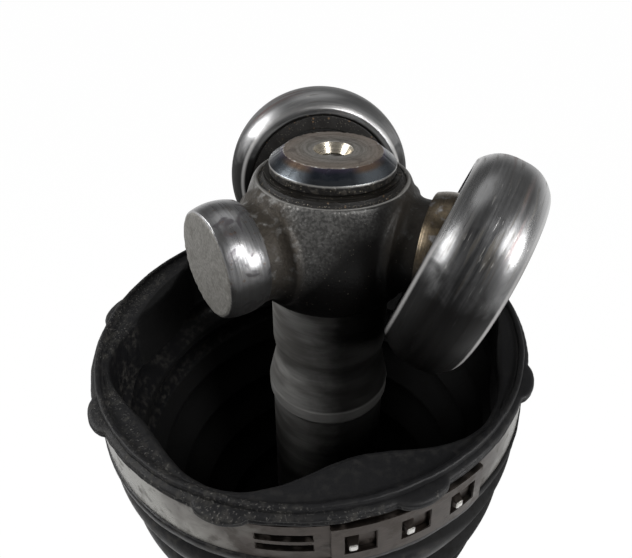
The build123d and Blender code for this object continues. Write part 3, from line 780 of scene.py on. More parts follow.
@dataclass(frozen=True)
class RollerSteel(Finish):
    """A roller: worn crown with fine streaks and a painted dark reflection round its middle, bevels painted light as
    highlights, faint rust, painted shade below, and grease inside.
    """

    half: float = 6.5
    bore: float = 15.9
    corner: float = 17.2
    # Strength of the painted dark reflection round the crown's middle.
    dark: float = 0.5
    rough: float = 0.26
    bright: Pair = ((0.24, 0.24, 0.242), (0.44, 0.44, 0.442))
    painted_dark_middle: Pair = ((0.014, 0.0145, 0.016), (0.13, 0.13, 0.132))

    def paint(self, recipe: Recipe) -> None:
        """Crown with its painted dark middle, corners painted light as highlights, brushed faces, an underside
        painted black as shade, and black bore.
        """
        x, z, radius = recipe.x, recipe.z, recipe.radius
        marks, fine = recipe.rings(0.5, 24.0), recipe.rings(0.12, 60.0)
        broad = recipe.noise(4.5, 4.0, warp=0.7)
        drawn = recipe.joined(x * 0.16, recipe.y * 0.16, z * 2.0)
        middle = 1 - abs(z + 1.6 * (broad - 0.5)).over(3.5, 1.6)
        # Painted reflection: a mottled dark band round the crown's middle, except at its top.
        smear = middle * ((x + 6 * (broad - 0.5)).over(-16.5, 4.5) * self.dark)
        worn = recipe.noise(2.2, 5.0, drawn).over(0.5, 0.14)
        rust = recipe.noise(3.4, 3.0, drawn).over(0.64, 0.07) * middle
        film = recipe.noise(1.4, 5.0, drawn).over(0.62, 0.08)
        streak = recipe.noise(0.8, 3.0, drawn).over(0.66, 0.04) * recipe.noise(2.4, 3.0).over(0.5, 0.08)
        # Painted shade: the roller's underside is laid near black and loses its metal.
        low = (x + 10 * (broad - 0.5)).over(-9.0, 5.0)
        # Painted highlight: the crown's corners are laid light.
        corner = abs(z).over(self.half - 0.6, 0.2) * radius.over(self.corner - 0.2, 0.3)
        grease = 1 - (radius + 0.5 * (broad - 0.5)).over(self.bore, 0.25)
        tone = recipe.laid(
            recipe.shade(marks, *self.bright), (smear, recipe.shade(worn, *self.painted_dark_middle)),
            (rust * 0.55, (0.2, 0.09, 0.08)), (film * 0.5, (0.1, 0.085, 0.062)),
            (streak * 0.5, (0.55, 0.54, 0.51)), (low * 0.97, (0.004, 0.0037, 0.0035)),
            (corner * 0.55, (0.6, 0.59, 0.58)), (grease, (0.008, 0.0075, 0.007)),
            (recipe.specks(0.35, 0.08) * grease, (0.2, 0.18, 0.14)))
        dull = self.rough + 0.16 * (marks - 0.5) + 0.1 * middle + 0.1 * rust + 0.14 * film
        dull = dull + 0.1 * grease + 0.15 * low
        metal = (1 - 0.8 * grease) * (1 - 0.92 * low)
        recipe.surface(base_color=tone, metallic=metal, roughness=dull.clamped(), specular_ior_level=0.12)
        recipe.relief((marks, 0.007), (fine, 0.005), (streak, -0.01), (film, -0.006))


@dataclass(frozen=True)
class Rubber(Finish):
    """Black moulded rubber with dust, fine scratches, a slight sheen and painted shade inside."""

    dusty: float = 0.4
    rim: float = 200.0
    shelf: float = 41.8
    skin: Pair = ((0.005, 0.005, 0.0055), (0.011, 0.011, 0.012))
    rubbed: Pair = ((0.006, 0.006, 0.0065), (0.011, 0.011, 0.012))

    def paint(self, recipe: Recipe) -> None:
        """Moulded skin with patches of dust; above a height a chalky rim and a shelf; below the rim and inside the
        shelf's radius, painted shade.
        """
        skin, fine = recipe.noise(0.35, 4.0), recipe.noise(0.12, 3.0)
        broad = recipe.noise(9.0, 5.0, warp=0.5)
        dust = recipe.noise(1.3, 6.0).over(0.56, 0.12) * broad.over(0.47, 0.12)
        rim = (recipe.z + 1.2 * (broad - 0.5)).over(self.rim, 0.7)
        outside = recipe.radius.over(self.shelf, 0.4)
        shelf = rim * (1 - outside)
        chalk = recipe.noise(0.4, 6.0).over(0.62, 0.05) * rim * outside * broad.over(0.45, 0.1)
        # Painted shade: below the rim and inside the shelf's radius the rubber is laid near black and duller. This
        # covers the socket and also the fold valleys and necks.
        painted_inside_shade = (1 - recipe.z.over(self.rim + 1.6, 0.6)) * (1 - recipe.radius.over(self.shelf - 0.8, 0.3))
        tone = recipe.laid(
            recipe.shade(broad, *self.skin), (dust * self.dusty, (0.055, 0.052, 0.046)),
            (shelf * 0.7, recipe.shade(skin, *self.rubbed)), (chalk * 0.6, (0.13, 0.125, 0.115)),
            (painted_inside_shade * 0.85, (0.0015, 0.0015, 0.0015)))
        dull = 0.3 + 0.2 * dust + 0.12 * (skin - 0.5) + 0.16 * rim * outside + 0.1 * broad
        dull = dull + 0.45 * painted_inside_shade + 0.12 * shelf
        recipe.surface(base_color=tone, metallic=0.0, roughness=dull.clamped(), specular_ior_level=0.22)
        recipe.relief((skin, 0.03), (fine, 0.012), (chalk, 0.04))


@dataclass(frozen=True)
class BandSteel(Finish):
    """Stainless band of a clamp, beige with dirt, and brown round its closure."""

    stained: float = 284.0
    reach: float = 36.0
    # Radius beyond which the hooks are laid light.
    hooks: float = 99.0
    rolled: Pair = ((0.21, 0.206, 0.186), (0.37, 0.362, 0.335))
    brown: Pair = ((0.018, 0.014, 0.012), (0.075, 0.058, 0.05))

    def paint(self, recipe: Recipe) -> None:
        """Rolled strip with brown stains that gather at one azimuth."""
        marks = recipe.noise(0.18, 3.0, recipe.joined(recipe.x / 10, recipe.y / 10, recipe.z))
        broad = recipe.noise(6.0, 3.0, warp=0.6)
        share = recipe.toward(self.stained) / (recipe.radius + 0.1)
        near = (share + 0.35 * (broad - 0.5)).over(cos(radians(self.reach)), 0.14)
        dirt = recipe.noise(2.4, 6.0).over(0.6, 0.1)
        tone = recipe.laid(
            recipe.shade(marks, *self.rolled),
            (near * 0.93, recipe.shade(recipe.noise(1.8, 4.0), *self.brown)),
            # The hooks' outer parts are laid light.
            (dirt * 0.55, (0.05, 0.04, 0.032)), (recipe.radius.over(self.hooks, 0.08), (0.7, 0.69, 0.66)))
        dull = 0.26 + 0.14 * (marks - 0.5) + 0.26 * dirt + 0.1 * near
        recipe.surface(base_color=tone, metallic=(1 - 0.45 * dirt).clamped(), roughness=dull.clamped())
        recipe.relief((marks, 0.01), (dirt, 0.03))


@dataclass(frozen=True)
class BellSteel(Finish):
    """The forged bell with its scale, and the turned and hardened stub axle below it."""

    face: float = -402.5
    mouth: float = -343.5
    splines: Span = (-450.0, -416.0)
    tooth_root: float = 12.9
    scale: Pair = ((0.045, 0.045, 0.048), (0.11, 0.108, 0.105))
    bright: Pair = ((0.3, 0.3, 0.3), (0.52, 0.52, 0.52))

    def paint(self, recipe: Recipe) -> None:
        """Dark scale on the bell, clean turned steel from the hub face down."""
        skin, patches = recipe.noise(0.6, 5.0), recipe.noise(4.0, 5.0, warp=0.8)
        pebbles, marks = recipe.cells(0.8), recipe.rings(0.35)
        rust = patches.over(0.6, 0.08)
        forged = recipe.laid(recipe.shade(skin, *self.scale), (rust * 0.8, (0.16, 0.085, 0.05)))
        turned = recipe.laid(
            recipe.shade(marks, *self.bright), (patches.over(0.64, 0.06) * 0.6, (0.14, 0.1, 0.07)))
        clean = 1 - recipe.z.over(self.face, 0.25) + recipe.z.over(self.mouth, 0.25)
        clean = clean.clamped()
        # The spline roots are laid darker.
        roots = recipe.z.within(*self.splines, 0.3) * (1 - recipe.radius.over(self.tooth_root, 0.25))
        tone = recipe.laid(forged, (clean, turned), (roots, (0.07, 0.06, 0.05)))
        dull = 0.5 - 0.2 * clean + 0.1 * (skin - 0.5) + 0.14 * rust
        recipe.surface(base_color=tone, metallic=0.8 + 0.15 * clean, roughness=dull.clamped())
        rough = 1 - clean
        recipe.relief((pebbles * rough, -0.06), (skin * rough, 0.06), (marks * clean, 0.012))


@dataclass(frozen=True)
class BlackGrease(Finish):
    """Old black grease with bits of metal and brown dirt in it."""

    wet: Pair = ((0.005, 0.0045, 0.0045), (0.014, 0.012, 0.01))

    def paint(self, recipe: Recipe) -> None:
        """Wet black with scattered bits."""
        wave = recipe.noise(1.6, 4.0, warp=0.5)
        bits, dirt = recipe.specks(0.3, 0.22), recipe.specks(0.7, 0.1)
        tone = recipe.laid(
            recipe.shade(wave, *self.wet), (dirt * 0.8, (0.15, 0.09, 0.045)), (bits * 0.4, (0.24, 0.22, 0.18)))
        dull = 0.48 + 0.3 * wave + 0.2 * bits
        recipe.surface(base_color=tone, metallic=0.0, roughness=dull.clamped(), coat_weight=0.12 * wave)
        recipe.relief((wave, 0.12), (bits, 0.05))


@dataclass(frozen=True)
class Grit(Finish):
    """Pale crumbs of dirt and metal."""

    tints: tuple[tuple[float, Colour], ...] = (
        (0.3, (0.06, 0.04, 0.028)), (0.5, (0.3, 0.25, 0.17)), (0.7, (0.62, 0.6, 0.55)))

    def paint(self, recipe: Recipe) -> None:
        """Crumbs that differ from one to the next."""
        tint = recipe.noise(0.9, 2.0)
        recipe.surface(base_color=recipe.ramp(tint, *self.tints), metallic=0.3, roughness=0.4 + 0.3 * tint)
        recipe.relief((recipe.noise(0.08, 3.0), 0.02))


# Geometry Nodes


class Growth(Graph):
    """A Geometry Nodes tree with named inputs, which is baked to a plain mesh."""

    def __init__(self, name: str) -> None:
        """Makes an empty tree that gives out geometry."""
        super().__init__(bpy.data.node_groups.new(name, "GeometryNodeTree"))
        self.tree.interface.new_socket("Geometry", in_out="OUTPUT", socket_type="NodeSocketGeometry")
        self.inputs = self.node("NodeGroupInput")
        self.values: dict[str, object] = {}

    def given(self, name: str, value: float | int | bpy.types.Material) -> Wire:
        """Adds a named input and keeps the value that it gets."""
        kinds = {int: "NodeSocketInt", float: "NodeSocketFloat"}
        kind = kinds.get(type(value), "NodeSocketMaterial")
        socket = self.tree.interface.new_socket(name, in_out="INPUT", socket_type=kind)
        self.values[socket.identifier] = value
        return Wire(self, self.find(self.inputs.outputs, socket.identifier))

    def sheet(self, columns: Wire | int, rows: Wire | int) -> tuple[Wire, Wire, Wire]:
        """Flat grid, and each point's share of the way across and along it."""
        sheet = self.node("GeometryNodeMeshGrid", sockets={
            "Size X": 1.0, "Size Y": 1.0, "Vertices X": columns, "Vertices Y": rows})
        place = self.node("ShaderNodeSeparateXYZ", sockets={0: self.wire("GeometryNodeInputPosition")})
        across, along = (Wire(self, place.outputs[axis]) + 0.5 for axis in (0, 1))
        return Wire(self, sheet.outputs["Mesh"]), across, along

    def polar(self, radius: Wire, share: Wire, height: Wire) -> Wire:
        """Place at a radius, a share of a whole turn and a height."""
        angle = share * (2 * pi)
        return self.wire("ShaderNodeCombineXYZ", sockets={
            0: radius * angle.maths("COSINE", angle), 1: radius * angle.maths("SINE", angle), 2: height})

    def moved(self, geometry: Wire, place: Wire) -> Wire:
        """Geometry whose points go to a place."""
        return self.wire("GeometryNodeSetPosition", sockets={"Geometry": geometry, "Position": place})

    def baked(self, geometry: Wire, finish: bpy.types.Material) -> Shape:
        """Ends the tree, runs it on an empty mesh and returns what it made.

        Args:
            geometry: The geometry to keep.
            finish: Material that the tree sets.

        Returns:
            The surface, in millimetres.
        """
        real = self.wire("GeometryNodeRealizeInstances", sockets={0: geometry})
        painted = self.wire(
            "GeometryNodeSetMaterial", sockets={"Geometry": real, "Material": self.given("Finish", finish)})
        self.node("NodeGroupOutput", sockets={0: painted})
        holder = linked(self.tree.name, bpy.data.meshes.new(self.tree.name))
        modifier = holder.modifiers.new("Growth", "NODES")
        modifier.node_group = self.tree
        for identifier, value in self.values.items():
            modifier[identifier] = value
        holder.data.update()
        grown = holder.evaluated_get(bpy.context.evaluated_depsgraph_get())
        mesh = bpy.data.meshes.new_from_object(grown)
        holder.modifiers.remove(modifier)
        bpy.data.objects.remove(holder)
        points = np.zeros(len(mesh.vertices) * 3)
        mesh.vertices.foreach_get("co", points)
        shape = Shape(points.reshape(-1, 3) / MM, [tuple(face.vertices) for face in mesh.polygons])
        bpy.data.meshes.remove(mesh)
        return shape


@dataclass
class Bellows:
    """Rubber folds that taper from a wide top to a neck, made by a rule."""

    top: float
    bottom: float
    folds: int
    wide: float
    narrow: float
    neck: float
    power: float = 1.7
    depth: float = 3.5
    wall: float = 1.7
    around: int = 168
    along: int = 150
    inner_rows: Span = (0.501, 0.9985)
    first_fold: float = 0.45
    fading: float = 0.2
    merged: float = 0.002

    def shape(self, finish: bpy.types.Material) -> Shape:
        """Bends a grid into a double-walled tube of folds."""
        growth = Growth("bellows")
        top, bottom = growth.given("Top", self.top * MM), growth.given("Bottom", self.bottom * MM)
        folds = growth.given("Folds", float(self.folds))
        wide, narrow = growth.given("Wide Radius", self.wide * MM), growth.given("Narrow Radius", self.narrow * MM)
        neck, power = growth.given("Neck Radius", self.neck * MM), growth.given("Taper Power", self.power)
        depth, wall = growth.given("Fold Depth", self.depth * MM), growth.given("Wall", self.wall * MM)
        around, along = growth.given("Around", self.around + 1), growth.given("Along", 2 * self.along + 1)
        sheet, across, down = growth.sheet(around, along)
        first, final = self.inner_rows
        inside = down.maths("GREATER_THAN", down, first) * down.maths("LESS_THAN", down, final)
        share = 1 - abs(2 * down - 1)
        ripple = share * folds - self.first_fold
        wave = abs(ripple.maths("COSINE", ripple * pi))
        radius = wide - (wide - narrow) * share.maths("POWER", share, power)
        radius = radius - depth * (1 - self.fading * share) * (1 - wave)
        last = (folds - 0.5) / folds
        ending = ((share - last) / (1 - last)).clamped()
        radius = radius + (neck - radius) * ending * ending * (3 - 2 * ending) - wall * inside
        bent = growth.moved(sheet, growth.polar(radius, across, top + (bottom - top) * share))
        sewn = growth.wire("GeometryNodeMergeByDistance", sockets={"Geometry": bent, "Distance": self.merged * MM})
        return growth.baked(sewn, finish)


@dataclass
class NeedleSet:
    """Needles of a bearing, with rounded ends, copied round a circle."""

    count: int = 32
    circle: float = 13.9
    radius: float = 1.25
    length: float = 9.0
    sides: int = 10
    round_share: float = 0.3
    tip_from: Span = (0.9, 0.05)
    longer_middle: float = 0.8

    def shape(self, finish: bpy.types.Material) -> Shape:
        """Instances one needle on the points of a circle."""
        growth = Growth("needle_set")
        count = growth.given("Count", self.count)
        circle = growth.given("Circle Radius", self.circle * MM)
        radius, length = growth.given("Needle Radius", self.radius * MM), growth.given("Length", self.length * MM)
        sides = growth.given("Sides", self.sides)
        ring = growth.wire("GeometryNodeMeshCircle", sockets={"Vertices": count, "Radius": circle})
        rod = growth.wire("GeometryNodeMeshCylinder", {"fill_type": "NGON"}, {
            "Vertices": sides, "Side Segments": 3, "Radius": radius, "Depth": length})
        spot = growth.wire("GeometryNodeInputPosition")
        height = Wire(growth, growth.node("ShaderNodeSeparateXYZ", sockets={0: spot}).outputs[2])
        tip = (abs(height) * 2 / length).over(*self.tip_from)
        narrow = 1 - tip * self.round_share
        shaped = growth.wire("ShaderNodeVectorMath", {"operation": "MULTIPLY"}, {
            0: spot, 1: growth.wire("ShaderNodeCombineXYZ", sockets={
                0: narrow, 1: narrow, 2: 1 + (1 - tip) * self.round_share * self.longer_middle})})
        copies = growth.wire("GeometryNodeInstanceOnPoints", sockets={
            "Points": ring, "Instance": growth.moved(rod, shaped)})
        return growth.baked(copies, finish)


@dataclass
class Crumbs:
    """Crumbs scattered by a seed over a flat ring."""

    inner: float
    outer: float
    height: float
    density: float = 0.55
    size: float = 0.13
    seed: int = 4
    cells: tuple[int, int] = (97, 5)

    def shape(self, finish: bpy.types.Material) -> Shape:
        """Scatters small rough stones over a grid bent into the ring."""
        growth = Growth("crumbs")
        inner, outer = growth.given("Inner Radius", self.inner * MM), growth.given("Outer Radius", self.outer * MM)
        height, size = growth.given("Height", self.height * MM), growth.given("Size", self.size * MM)
        density, seed = growth.given("Density", self.density / MM**2), growth.given("Seed", self.seed)
        sheet, across, along = growth.sheet(*self.cells)
        bent = growth.moved(sheet, growth.polar(inner + (outer - inner) * along, across, height))
        spots = growth.node("GeometryNodeDistributePointsOnFaces", sockets={
            "Mesh": bent, "Density": density, "Seed": seed})
        stone = growth.wire("GeometryNodeMeshIcoSphere", sockets={"Radius": size, "Subdivisions": 1})
        copies = growth.wire("GeometryNodeInstanceOnPoints", sockets={
            "Points": Wire(growth, spots.outputs["Points"]), "Instance": stone,
            "Rotation": self.chance(growth, (0.0, 0.0, 0.0), (6.0, 6.0, 6.0), seed),
            "Scale": self.chance(growth, (0.35, 0.35, 0.3), (1.3, 1.2, 0.9), seed + 1)})
        return growth.baked(copies, finish)

    def chance(self, growth: Growth, low: Place, high: Place, seed: Wire) -> Wire:
        """Three random values for each crumb."""
        return growth.wire("FunctionNodeRandomValue", {"data_type": "FLOAT_VECTOR"}, {
            "Min": low, "Max": high, "Seed": seed}, out="Value")


# The object


@dataclass
class ShaftBar:
    """The long bar, with its turned end, seats, raised ring and black middle."""

    end: float = 15.7
    face: float = 8.75
    spline: float = 11.4
    chamfer_low: float = 13.6
    groove: Span = (9.85, 12.05)
    low_groove: Span = (-374.1, -372.0)
    groove_radius: float = 10.2
    hub_low: float = -10.85
    collar: float = 11.8
    collar_low: float = -25.0
    waist: float = 11.3
    waist_span: Span = (-29.5, -28.0)
    ring: float = 12.9
    ring_span: Span = (-38.9, -36.6)
    seat: float = 12.2
    seat_span: Span = (-347.9, -40.0)
    middle: float = 11.0
    middle_span: Span = (-262.0, -128.46)
    cone: float = 8.0
    hole: Span = (3.6, 2.4)
    low: float = -377.3
    steps: int = 224

    def build(self) -> None:
        """Turns the bar from one rounded outline, with small nicks round its end face."""
        spline, groove, seat, middle = self.spline, self.groove_radius, self.seat, self.middle
        bottom, top = self.middle_span
        profile = outline(
            (0, self.low), (spline - 1, self.low, 0.2), (spline, self.low + 1, 0.2),
            (spline, self.low_groove[0]), (groove, self.low_groove[0]), (groove, self.low_groove[1]),
            (spline, self.low_groove[1]), (spline, self.seat_span[0] - 0.3, 0.2), (seat, self.seat_span[0], 0.3),
            (seat, bottom - self.cone, 3), (middle, bottom, 3), (middle, top, 3), (seat, top + self.cone, 3),
            (seat, self.seat_span[1], 0.8), (self.ring, self.ring_span[0], 0.35),
            (self.ring, self.ring_span[1], 0.35), (self.waist, self.waist_span[0], 6),
            (self.waist, self.waist_span[1], 6), (self.collar, self.collar_low, 2),
            (self.collar, self.hub_low, 0.3), (spline, self.hub_low, 0.2), (spline, self.groove[0]),
            (groove, self.groove[0]), (groove, self.groove[1]), (spline, self.groove[1]),
            (spline, self.chamfer_low, 0.25), (self.face, self.end, 0.12), (self.hole[0], self.end, 0.15),
            (self.hole[1], self.end - 1.8, 0.1), (self.hole[1], self.end - 9), (0, self.end - 10.6))
        bar = mesh_piece("shaft_bar", lathe(profile, self.steps, self.nicked))
        fitted(bar, BarSteel("bar_steel", "bar_steel"), Body.AXLE.value, "axle_bar")

    def nicked(self, radius: np.ndarray, height: np.ndarray, turn: np.ndarray) -> tuple[np.ndarray, np.ndarray]:
        """Knocks small dents into the edge of the end face."""
        near = np.exp(-(((radius - self.face) ** 2 + (height - self.end) ** 2) / 0.12))
        dents = sum(np.sin(n * turn + 1.7 * n) for n in (7, 13, 19, 31, 44)) / 3
        return radius - 0.09 * near * np.clip(dents, 0, 1), height - 0.07 * near * np.clip(dents, 0, 1)


@dataclass
class SnapRing:
    """Split retaining ring in a groove of the bar."""

    name: str
    node: str
    low: float
    radius: float = 12.5
    bore: float = 10.27
    thickness: float = 1.98
    split: float = 24.0

    def build(self) -> None:
        """Bends a rounded section round the bar, open at the split."""
        band = Strip(self.bore, self.radius - self.bore, self.low, self.thickness, self.split / 2,
                     360 - self.split)
        piece = mesh_piece(self.name, band.shape([]), bevel=0.28)
        finish = TurnedSteel("ring_steel", "ring_steel", tone=(0.1, 0.096, 0.09), stain=(0.03, 0.027, 0.023),
                             stained=0.8, marks=0.02)
        fitted(piece, finish, Body.AXLE.value, self.node)


@dataclass
class TripodSpider:
    """Forged hub with three necks, and three ground spherical heads."""

    azimuths: tuple[float, float, float] = (97.1, 217.1, 337.1)
    bore: float = 11.43
    rim: float = 14.2
    belly: float = 16.6
    half: float = 10.8
    recess: float = 13.3
    recess_depth: float = 0.9
    neck: float = 8.6
    arm_base: float = 12.3
    overlap: float = 1.2
    flare: float = 1.9
    flare_inside: float = 2.0
    flare_length: float = 2.2
    reach: float = 21.9
    head: float = 10.7
    back: float = -3.3
    flat: float = 3.9
    grid_size: float = 0.27
    smoothing: tuple[float, int] = (0.5, 18)
    bare: int = 1
    wear: float = 0.85

    def trunnion(self, azimuth: float) -> Matrix:
        """Frame of a trunnion: its Z points out of the hub."""
        return turned_to(azimuth) @ Matrix.Rotation(pi / 2, 4, "Y")

    def hub(self) -> Shape:
        """Barrel with its bore and the recesses round it."""
        floor = self.half - self.recess_depth
        return lathe(outline(
            (self.bore, -floor), (self.recess, -floor, 0.3), (self.recess, -self.half, 0.4),
            (self.rim, -self.half, 0.8), *bow(self.rim, self.belly, self.half)[2:-2],
            (self.rim, self.half, 0.5), (self.recess, self.half, 0.3), (self.recess, floor, 0.3),
            (self.bore, floor)), 180)

    def arm(self) -> Shape:
        """One neck with its flare towards the hub."""
        start, end = self.belly - self.flare_inside, self.reach + self.back + self.overlap
        flare = [(self.neck + self.flare * (1 - sin(t)), start + self.flare_length * (1 - cos(t)))
                 for t in np.linspace(0, pi / 2, 12)]
        return lathe(np.array([(0, self.arm_base), (self.neck + self.flare, self.arm_base), *flare,
                               (self.neck, end), (0, end)]), 96)

    def build(self) -> None:
        """Joins hub and necks on a fine grid, smooths the joints, and sets the heads on."""
        shape = self.hub()
        for azimuth in self.azimuths:
            shape = shape + self.arm().placed(self.trunnion(azimuth))
        core = mesh_piece("spider_core", shape)
        remesh = core.modifiers.new("Join", "REMESH")
        remesh.mode, remesh.voxel_size = "VOXEL", self.grid_size * MM
        smooth = core.modifiers.new("Smooth", "SMOOTH")
        smooth.factor, smooth.iterations = self.smoothing
        joined = bpy.data.meshes.new_from_object(core.evaluated_get(bpy.context.evaluated_depsgraph_get()))
        bpy.data.objects.remove(core)
        joined.shade_smooth()
        body = linked("spider_body", joined)
        fitted(body, CastSteel("cast_steel", "spider_steel"), Body.AXLE.value, "tripod_spider")
        for number, azimuth in enumerate(self.azimuths):
            worn = self.wear if number == self.bare else 0.0
            place = raised(worn) @ self.trunnion(azimuth) @ raised(self.reach)
            profile = self.head_profile(self.head - worn)
            ball = lathe(profile, 192, lambda r, z, t, n=number: self.forged(r, z, t, n)).placed(place)
            piece = mesh_piece(f"trunnion_head_{number + 1}", ball)
            dirty = 0.15 if number == self.bare else 0.9
            finish = GroundSteel(f"ground_steel_{number + 1}", "spider_steel", place, dirty=dirty)
            fitted(piece, finish, Body.AXLE.value, "tripod_spider")

    def head_profile(self, head: float) -> np.ndarray:
        """Outline of a head of this radius, from its back to its flat end."""
        rim = sqrt(head**2 - (self.flat - 0.35) ** 2)
        return outline(
            (0, self.back), (sqrt(head**2 - self.back**2), self.back, 0.25),
            *globe(head, self.back + 0.15, self.flat - 0.55, 26), (rim, self.flat - 0.35, 0.2),
            (rim - 0.65, self.flat, 0.5), (5.0, self.flat + 0.08), (0, self.flat + 0.1))

    def forged(self, radius: np.ndarray, height: np.ndarray, turn: np.ndarray, seed: int) -> tuple:
        """Makes the flat end and its edge slightly uneven."""
        spot = turned_points(radius, turn, height)
        end = np.clip((height - self.flat + 0.5) / 0.5, 0, 1)
        rough = 0.05 * grain(spot, 5.0, seed) + 0.035 * grain(spot, 1.6, seed + 9)
        edge = np.exp(-((radius - 9.4) ** 2) / 0.25) * end
        return radius + edge * 0.16 * grain(spot, 2.0, seed + 4), height + end * (rough - 0.08) * (radius > 0.01)


@dataclass
class RollerAssembly:
    """A roller on its needles, inner ring and two side rings, in its trunnion's frame."""

    name: str
    azimuth: float
    slide: float
    droop: float
    # Strength of the painted dark reflection round the middle of the roller's crown.
    dark: float = 0.5
    rough: float = 0.26
    reach: float = 21.9
    radius: float = 19.95
    corner: float = 16.9
    crown_power: float = 2.8
    half: float = 6.5
    lip: float = 15.3
    race: float = 15.2
    seat: float = 15.8
    side_low: float = 4.8
    side_thickness: float = 1.0
    side_bore: float = 11.9
    ring_bore: float = 10.78
    ring_radius: float = 12.6
    ring_half: float = 4.7
    play: float = 0.03
    split: float = 9.0

    def place(self) -> Matrix:
        """Frame of the roller: its Z is the trunnion's direction, slid outwards and drooping."""
        tilt = Matrix.Rotation(radians(self.droop), 4, "Y")
        head = Matrix.Translation((self.reach, 0, 0))
        slid = Matrix.Translation((self.slide, 0, 0))
        return turned_to(self.azimuth) @ head @ tilt @ slid @ Matrix.Rotation(pi / 2, 4, "Y")

    def roller(self) -> Shape:
        """Crowned ring with its needle race and grooves."""
        high = self.side_low + self.side_thickness + self.play
        bore = [(self.lip, high, 0.05), (self.seat, high), (self.seat, self.side_low), (self.race, self.side_low)]
        mirrored = [(c[0], -c[1], *c[2:]) for c in reversed(bore)]
        share = np.linspace(-1, 1, 41)[1:-1]
        crown = self.radius - (self.radius - self.corner) * abs(share) ** self.crown_power
        return lathe(outline(
            (self.corner - 0.1, -self.half, 0.25), *zip(crown, self.half * share),
            (self.corner - 0.1, self.half, 0.25), (self.lip, self.half, 0.25), *bore, *mirrored,
            (self.lip, -self.half, 0.25)), 192)

    def side_ring(self, side: int) -> Shape:
        """Split ring beside the needles."""
        ring = Strip(self.side_bore, self.seat - self.play - self.side_bore, self.side_low + self.play / 2,
                     self.side_thickness, self.split / 2, 360 - self.split).shape([])
        return ring.placed(Matrix.Rotation(pi / 2 * (1 - side), 4, "X"))

    def build(self) -> None:
        """Makes each piece and lets it ride on its own body."""
        place = self.place()
        steel = RollerSteel(f"{self.name}_roller_steel", "bearing_steel", place, dark=self.dark, rough=self.rough)
        fitted(mesh_piece(f"{self.name}_roller_ring", self.roller().placed(place)), steel,
               f"{self.name}_roller", f"{self.name}_roller")
        # The side rings are laid near black and dull.
        near_black_steel = TurnedSteel(f"{self.name}_side_steel", "ring_steel", place, tone=(0.013, 0.012, 0.011),
                             stain=(0.006, 0.0056, 0.0052), stained=0.9, roughness=0.55, marks=0.03,
                             metallic=0.05)
        for side, word in ((1, "outer"), (-1, "inner")):
            ring = mesh_piece(f"{self.name}_{word}_ring_plate", self.side_ring(side).placed(place), bevel=0.12)
            fitted(ring, near_black_steel, f"{self.name}_roller", f"{self.name}_{word}_side_ring")
        bright = TurnedSteel(f"{self.name}_race_steel", "bearing_steel", place, tone=(0.5, 0.5, 0.49),
                             stained=0.5, roughness=0.16, marks=0.004)
        inner = lathe(outline(
            (self.ring_bore, -self.ring_half, 0.3), (self.ring_radius, -self.ring_half, 0.2),
            (self.ring_radius, self.ring_half, 0.2), (self.ring_bore, self.ring_half, 0.3)), 120)
        fitted(mesh_piece(f"{self.name}_inner_race_ring", inner.placed(place)), bright,
               f"{self.name}_pivot", f"{self.name}_inner_ring")
        needles = NeedleSet().shape(bright.material()).placed(place)
        fitted(mesh_piece(f"{self.name}_needle_set", needles), bright, f"{self.name}_needles",
               f"{self.name}_needles")
        self.grease(place)

    def grease(self, place: Matrix) -> None:
        """Grease left on the roller's inner side ring, with crumbs in it."""
        low, high = -self.side_low - self.side_thickness - 0.02, -self.half + 0.15
        rows = outline((self.side_bore + 0.6, low), (self.lip - 0.02, low),
                       (self.lip - 0.02, high, 0.3), (self.side_bore + 0.6, high + 0.2, 0.3), steps=6)
        fill = lathe(rows, 144, lambda r, z, t: self.lumpy(r, z, t, high)).placed(place)
        film = BlackGrease(f"{self.name}_grease", "bearing_steel", place)
        fitted(mesh_piece(f"{self.name}_roller_grease", fill), film, f"{self.name}_roller")

    def lumpy(self, radius: np.ndarray, height: np.ndarray, turn: np.ndarray, high: float) -> tuple:
        """Waves on the free face of the grease."""
        spot = turned_points(radius, turn, 0 * height)
        free = np.clip((height - high - 0.35) / -0.5, 0, 1)
        return radius, height + free * (0.12 + 0.16 * grain(spot, 2.6, 5))


@dataclass
class HubGrease:
    """Gritty old grease in the valley between the snap ring and the hub's rim."""

    inner: float = 11.5
    outer: float = 13.25
    floor: float = 9.85

    def build(self) -> None:
        """Lays a lumpy bead and scatters crumbs on it."""
        rows = outline((self.inner, self.floor), (self.outer, self.floor), (self.outer, 10.45, 0.3),
                       (12.75, 10.55, 0.3), (12.55, 11.2, 0.1), (self.inner, 11.25), steps=6)
        bead = lathe(rows, 240, self.lumpy)
        fitted(mesh_piece("hub_grease", bead), BlackGrease("hub_grease", "spider_steel"), Body.AXLE.value)
        grit = Grit("grit", "spider_steel")
        crumbs = Crumbs(inner=12.6, outer=13.4, height=10.75, density=3.6, size=0.07).shape(grit.material())
        top = Crumbs(inner=11.6, outer=12.5, height=11.99, density=1.2, size=0.06, seed=9)
        crumbs = crumbs + top.shape(grit.material())
        fitted(mesh_piece("hub_grit", crumbs, crease=20), grit, Body.AXLE.value)

    def lumpy(self, radius: np.ndarray, height: np.ndarray, turn: np.ndarray) -> tuple:
        """Raises the bead where the photograph shows most grease, at the right."""
        spot = turned_points(radius, turn, 0 * height)
        free = np.clip((height - self.floor - 0.4) / 0.5, 0, 1)
        heap = 0.5 + 0.5 * np.cos(turn - radians(-30))
        return radius, height + free * (0.07 * grain(spot, 1.2, 3) + 0.05 * grain(spot, 0.5, 8) + 0.12 * heap**3)


